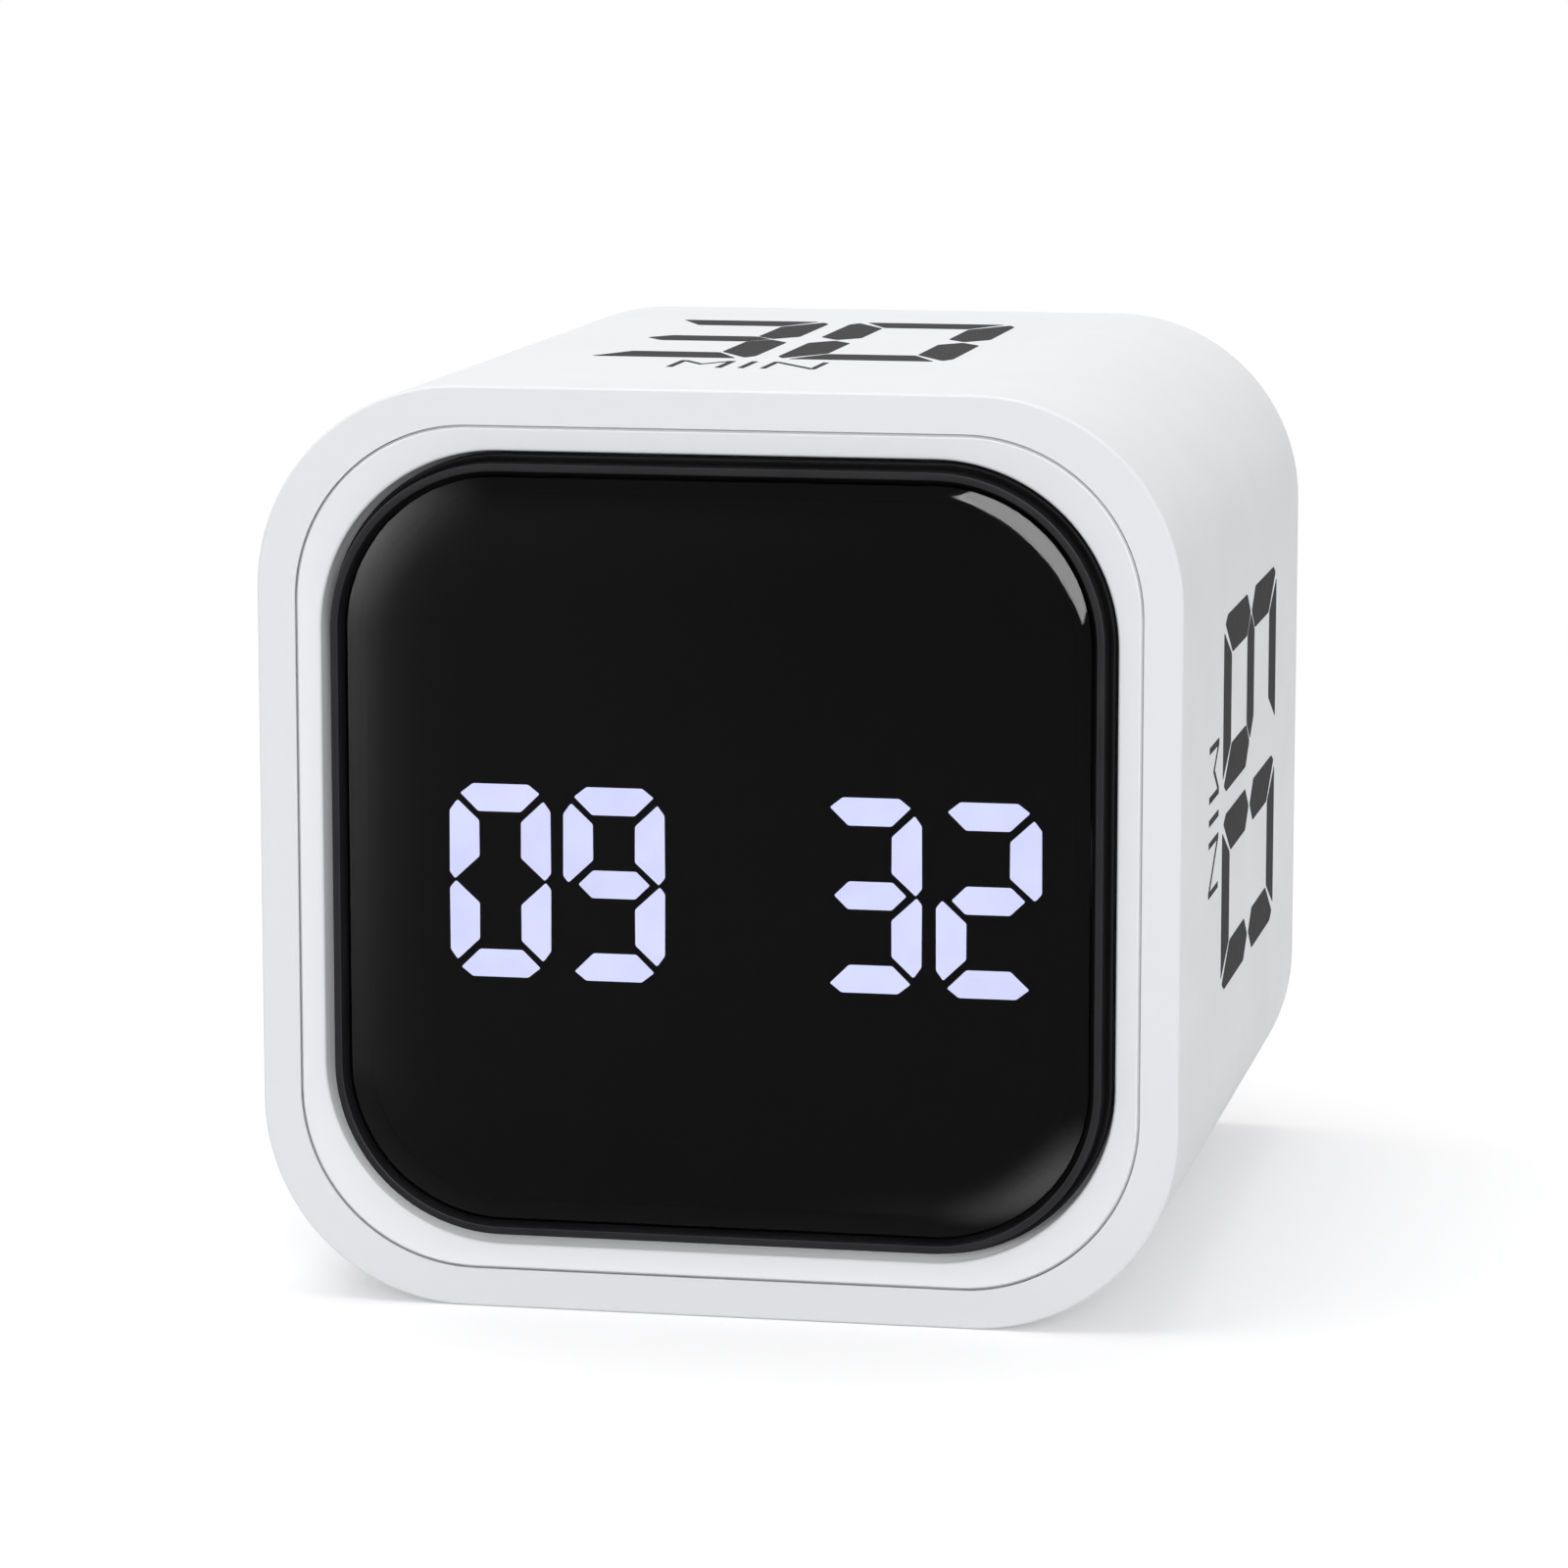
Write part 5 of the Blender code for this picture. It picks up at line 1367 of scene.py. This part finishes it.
@dataclass
class RearMarks:
    """Small printed words by the rear keys and the slider: each word, its middle and its size."""

    depth: float = 64.3
    thickness: float = 0.02
    words: tuple[tuple[str, Point, Point], ...] = (
        ("MIN", (-13.9, 12.1), (4.0, 1.5)), ("SEC", (0.0, 12.1), (4.0, 1.5)),
        ("START", (13.9, 12.1), (6.0, 1.5)), ("LOW", (-16.0, -10.1), (3.2, 1.2)),
        ("HIGH", (-8.0, -10.1), (3.6, 1.2)),
    )

    def build(self) -> None:
        """Makes the words as one piece of thin ink, readable from behind and half sunk in the cover."""
        mesh = new_mesh()
        for word, (x, z), size in self.words:
            add_word(mesh, word, size, (-x, z), self.thickness)
        turn = Matrix.Translation((0, self.depth, 0)) @ Matrix.Rotation(math.pi, 4, "Z")
        sink = Matrix.Translation((0, -self.thickness / 2, 0))
        Piece("print_rear_words", PAD_INK, "black_plastic").make(mesh, PLACE @ turn @ sink)


@dataclass
class PackedSolids:
    """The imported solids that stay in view, and those that a finer piece stands for."""

    nodes: dict[str, Object]
    record: dict

    def dress(self) -> None:
        """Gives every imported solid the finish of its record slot."""
        for row in self.record["subparts"]:
            node, finish = self.nodes[row["node"]], SLOT_FINISHES[row["material_slot"]]
            node.data.materials.clear()
            node.data.materials.append(finish.material())
            LOG.info("%s: %s", row["node"], finish.name)


# Studio


def seen_rays(tree: NodeTree) -> NodeSocket:
    """Tells the rays that see a surface from those that carry its light to the object.

    Args:
        tree: The node tree of a material or the world.

    Returns:
        1 for camera, glossy and transmission rays and 0 for the others.
    """
    path = add_node(tree, "ShaderNodeLightPath").outputs
    inputs = {0: path["Is Camera Ray"], 1: path["Is Glossy Ray"]}
    both = add_node(tree, "ShaderNodeMath", inputs, operation="MAXIMUM").outputs[0]
    inputs = {0: both, 1: path["Is Transmission Ray"]}
    return add_node(tree, "ShaderNodeMath", inputs, operation="MAXIMUM").outputs[0]


@dataclass(frozen=True)
class PaleFloor:
    """A seamless white floor that keeps the soft shadow and is plain white further out.

    Camera, glossy and transmission rays see a little light added to it, so it reads as white.
    lift: that light; near and far: where the floor starts and ends its change to plain white.
    """

    colour: str = "#E6E6E7"
    lift: float = 0.3
    near: float = 0.16
    far: float = 0.42
    grain_scale: float = 900.0
    grain_bump: float = 0.02
    grain_depth: float = 0.0001

    def paint(self, tree: NodeTree) -> Node:
        """Adds the matt painted surface with its fine grain.

        Args:
            tree: The material's node tree.

        Returns:
            The surface's shader.
        """
        place = add_node(tree, "ShaderNodeTexCoord").outputs["Object"]
        inputs = {"Vector": place, "Scale": self.grain_scale, "Detail": GRAIN_DETAIL}
        grain = add_node(tree, "ShaderNodeTexNoise", inputs).outputs["Fac"]
        inputs = {"Height": grain, "Strength": self.grain_bump, "Distance": self.grain_depth}
        normal = add_node(tree, "ShaderNodeBump", inputs).outputs["Normal"]
        return add_node(tree, "ShaderNodeBsdfDiffuse", {"Color": srgb(self.colour), "Normal": normal})

    def material(self) -> Material:
        """Makes the floor's material.

        Returns:
            The material.
        """
        made = bpy.data.materials.new("painted_studio_floor")
        tree = bare_tree(made)
        paint, seen = self.paint(tree), seen_rays(tree)
        added = add_node(tree, "ShaderNodeMath", {0: seen, 1: self.lift}, operation="MULTIPLY")
        inputs = {"Color": PLAIN_WHITE, "Strength": added.outputs[0]}
        glow = add_node(tree, "ShaderNodeEmission", inputs)
        lifted = add_node(tree, "ShaderNodeAddShader", {0: paint.outputs[0], 1: glow.outputs[0]})
        plain = add_node(tree, "ShaderNodeEmission", {"Color": PLAIN_WHITE, "Strength": seen})
        place = add_node(tree, "ShaderNodeTexCoord").outputs["Object"]
        away = add_node(tree, "ShaderNodeVectorMath", {0: place}, operation="LENGTH")
        inputs = {"Value": away.outputs["Value"], "From Min": self.near, "From Max": self.far}
        far = add_node(tree, "ShaderNodeMapRange", inputs, interpolation_type="SMOOTHSTEP")
        inputs = {0: far.outputs["Result"], 1: seen}
        gate = add_node(tree, "ShaderNodeMath", inputs, operation="MULTIPLY")
        inputs = {0: gate.outputs[0], 1: lifted.outputs[0], 2: plain.outputs[0]}
        mixed = add_node(tree, "ShaderNodeMixShader", inputs)
        add_node(tree, "ShaderNodeOutputMaterial", {"Surface": mixed.outputs[0]})
        return made


class Role(Enum):
    """What a lamp is there for.

    PLAIN: all its light; DIFFUSE: only the matt light on every surface; GLOSS: only its reflection
    in the lens and the black ring; WALL: only the matt light on the front frame's window wall.
    """

    PLAIN = "plain"
    DIFFUSE = "diffuse"
    GLOSS = "gloss"
    WALL = "wall"


# The pieces that the lamps of a role light, and those that shade them, as flags do round a real set.
FLAGS: dict[Role, tuple[tuple[str, ...], tuple[str, ...]]] = {
    Role.GLOSS: (
        ("domed_lens", "bezel_crest_ring"), ("housing_sleeve", "front_frame_ring", "bezel_crest_ring"),
    ),
    Role.WALL: (("front_frame_ring",), ("floor", "housing_sleeve")),
}


@dataclass(frozen=True)
class SoftLamp:
    """An area lamp: where it hangs, what it faces, its size in metres, its power and its role."""

    name: str
    place: Place
    aim: Place
    size: Point
    power: float
    spread: float = FULL_SPREAD
    roll: float = 0.0
    role: Role = Role.PLAIN

    def feather(self, tree: NodeTree) -> None:
        """Fades the lamp out from its middle to its rim, like the cloth of a graded softbox.

        Args:
            tree: The lamp's node tree.
        """
        half = 0.5
        inputs = {0: add_node(tree, "ShaderNodeTexCoord").outputs["UV"], 1: (half, half, 0)}
        away = add_node(tree, "ShaderNodeVectorMath", inputs, operation="DISTANCE")
        inputs = {"Value": away.outputs["Value"], "From Min": half, "From Max": 0}
        share = add_node(tree, "ShaderNodeMapRange", inputs, interpolation_type="SMOOTHSTEP")
        glow = add_node(tree, "ShaderNodeEmission", {"Strength": share.outputs["Result"]})
        add_node(tree, "ShaderNodeOutputLight", {"Surface": glow.outputs[0]})

    def build(self) -> None:
        """Hangs the lamp and turns it to what it faces."""
        data = bpy.data.lights.new(self.name, "AREA")
        data.shape, data.size, data.size_y = "RECTANGLE", *self.size
        data.energy, data.spread = self.power, math.radians(self.spread)
        lamp = add_object(self.name, data)
        facing = (Vector(self.aim) - Vector(self.place)).to_track_quat("-Z", "Y").to_matrix().to_4x4()
        roll = Matrix.Rotation(math.radians(self.roll), 4, "Z")
        lamp.matrix_world = Matrix.Translation(self.place) @ facing @ roll
        lamp.visible_camera, lamp.visible_glossy = False, self.role in (Role.PLAIN, Role.GLOSS)
        if self.role is Role.GLOSS:
            lamp.visible_diffuse = lamp.visible_transmission = False
            if self.spread < FULL_SPREAD:
                self.feather(bare_tree(data))


def piece_group(name: str, pieces: Sequence[str]) -> Collection:
    """Groups pieces for the lamps alone.

    Args:
        name: The group's name.
        pieces: The names of its pieces.

    Returns:
        The group, which isn't part of the scene.
    """
    group = bpy.data.collections.new(name)
    for piece in pieces:
        group.objects.link(bpy.data.objects[piece])
    return group


@dataclass
class Studio:
    """The floor, the surrounding white, the lamps and the camera."""

    fill: float = 0.5
    floor_size: float = 3.0
    floor_squares: int = 6
    lamps: tuple[SoftLamp, ...] = (
        SoftLamp("overhead_soft", (-0.16, -0.05, 0.88), (0, 0, 0.03), (0.7, 0.7), 3.95),
        SoftLamp("key_soft", (0.33, -0.9, 0.33), (0, 0, 0.03), (0.35, 0.35), 3.05, role=Role.DIFFUSE),
        SoftLamp(
            "wall_card", (0.25, -0.0955, 0.575), (0, -0.0335, 0.03), (0.06, 0.2), 1.55, role=Role.WALL
        ),
        SoftLamp(
            "corner_card", (0.29, -0.93, 0.36), (0.017, -0.033, 0.047), (0.24, 0.8), 28.0,
            roll=45.0, role=Role.GLOSS,
        ),
        SoftLamp(
            "left_card", (-0.1315, -0.126, 0.0865), (-0.019, -0.033, 0.049), (0.32, 0.32), 0.48,
            spread=66.0, role=Role.GLOSS,
        ),
        SoftLamp(
            "left_glow", (-0.2025, -0.3235, 0.0625), (-0.01, -0.033, 0.045), (0.5, 0.5), 0.2,
            spread=56.0, role=Role.GLOSS,
        ),
        SoftLamp(
            "low_card", (0.098, -0.2222, -0.131), (0.017, -0.033, 0.013), (0.33, 0.17), 1.45,
            spread=170.0, role=Role.GLOSS,
        ),
    )
    camera_place: Place = (0.07797, -0.40542, 0.09567)
    camera_pitch: float = 9.067
    camera_yaw: float = 11.136
    focal_length: float = 139.17
    sensor_width: float = 36.0
    near_clip: float = 0.01

    def build_floor(self) -> None:
        """Lays the floor just under the object."""
        mesh, squares = new_mesh(), self.floor_squares
        bmesh.ops.create_grid(mesh, x_segments=squares, y_segments=squares, size=self.floor_size / 2)
        floor = mesh_object("floor", mesh, Matrix.Identity(4))
        floor.data.materials.append(PaleFloor().material())

    def build_world(self) -> None:
        """Surrounds the scene with white, plain white to the eye and a soft fill to the surfaces."""
        world = bpy.data.worlds.new("studio_white")
        tree = bare_tree(world)
        inputs = {"Value": seen_rays(tree), "To Min": self.fill, "To Max": 1.0}
        strength = add_node(tree, "ShaderNodeMapRange", inputs).outputs["Result"]
        back = add_node(tree, "ShaderNodeBackground", {"Color": PLAIN_WHITE, "Strength": strength})
        add_node(tree, "ShaderNodeOutputWorld", {"Surface": back.outputs[0]})
        bpy.context.scene.world = world

    def build_camera(self) -> None:
        """Sets the camera at the photograph's viewing angle."""
        data = bpy.data.cameras.new("camera")
        data.lens, data.sensor_width, data.clip_start = self.focal_length, self.sensor_width, self.near_clip
        camera = add_object("camera", data)
        camera.location = self.camera_place
        camera.rotation_euler = (math.radians(90 - self.camera_pitch), 0, math.radians(self.camera_yaw))
        bpy.context.scene.camera = camera

    def build(self) -> None:
        """Builds the whole studio."""
        self.build_floor()
        self.build_world()
        self.build_camera()
        for lamp in self.lamps:
            lamp.build()
        bpy.context.scene.view_settings.view_transform = "Standard"

    def flag_lamps(self) -> None:
        """Keeps each card's light on the pieces that it is there for."""
        for role, (lit, shading) in FLAGS.items():
            receivers = piece_group(f"{role.value}_lit", lit)
            blockers = piece_group(f"{role.value}_shade", shading)
            for lamp in self.lamps:
                if lamp.role is role:
                    linking = bpy.data.objects[lamp.name].light_linking
                    linking.receiver_collection, linking.blocker_collection = receivers, blockers


def main() -> None:
    """Builds the studio and the timer's pieces in order, and then flags the lamps."""
    logging.basicConfig(level=logging.INFO, format="%(message)s")
    studio = Studio()
    studio.build()
    PackedSolids(frame["nodes"], frame["record"]).dress()
    parts = (
        Housing(),
        FrontFrame(),
        Bezel(),
        DisplayLens(),
        LitDisplay(),
        PresetPrint(Side.TOP, "30", (-1.44, 0.85)),
        PresetPrint(Side.RIGHT, "60", (-0.95, -0.85)),
        PresetPrint(Side.BOTTOM, "5", (-1.2, 0.0)),
        PresetPrint(Side.LEFT, "15", (-1.2, 0.0)),
        PushButton("button_minute", Body.MINUTE, (-13.9, 6.54)),
        PushButton("button_second", Body.SECOND, (0.0, 6.54)),
        PushButton("button_start", Body.START, (13.9, 6.54)),
        SoundSlider(),
        ChargingSocket(),
        CoverScrews(),
        RearMarks(),
    )
    for part in parts:
        part.build()
    studio.flag_lamps()


if __name__ == "__main__":
    main()
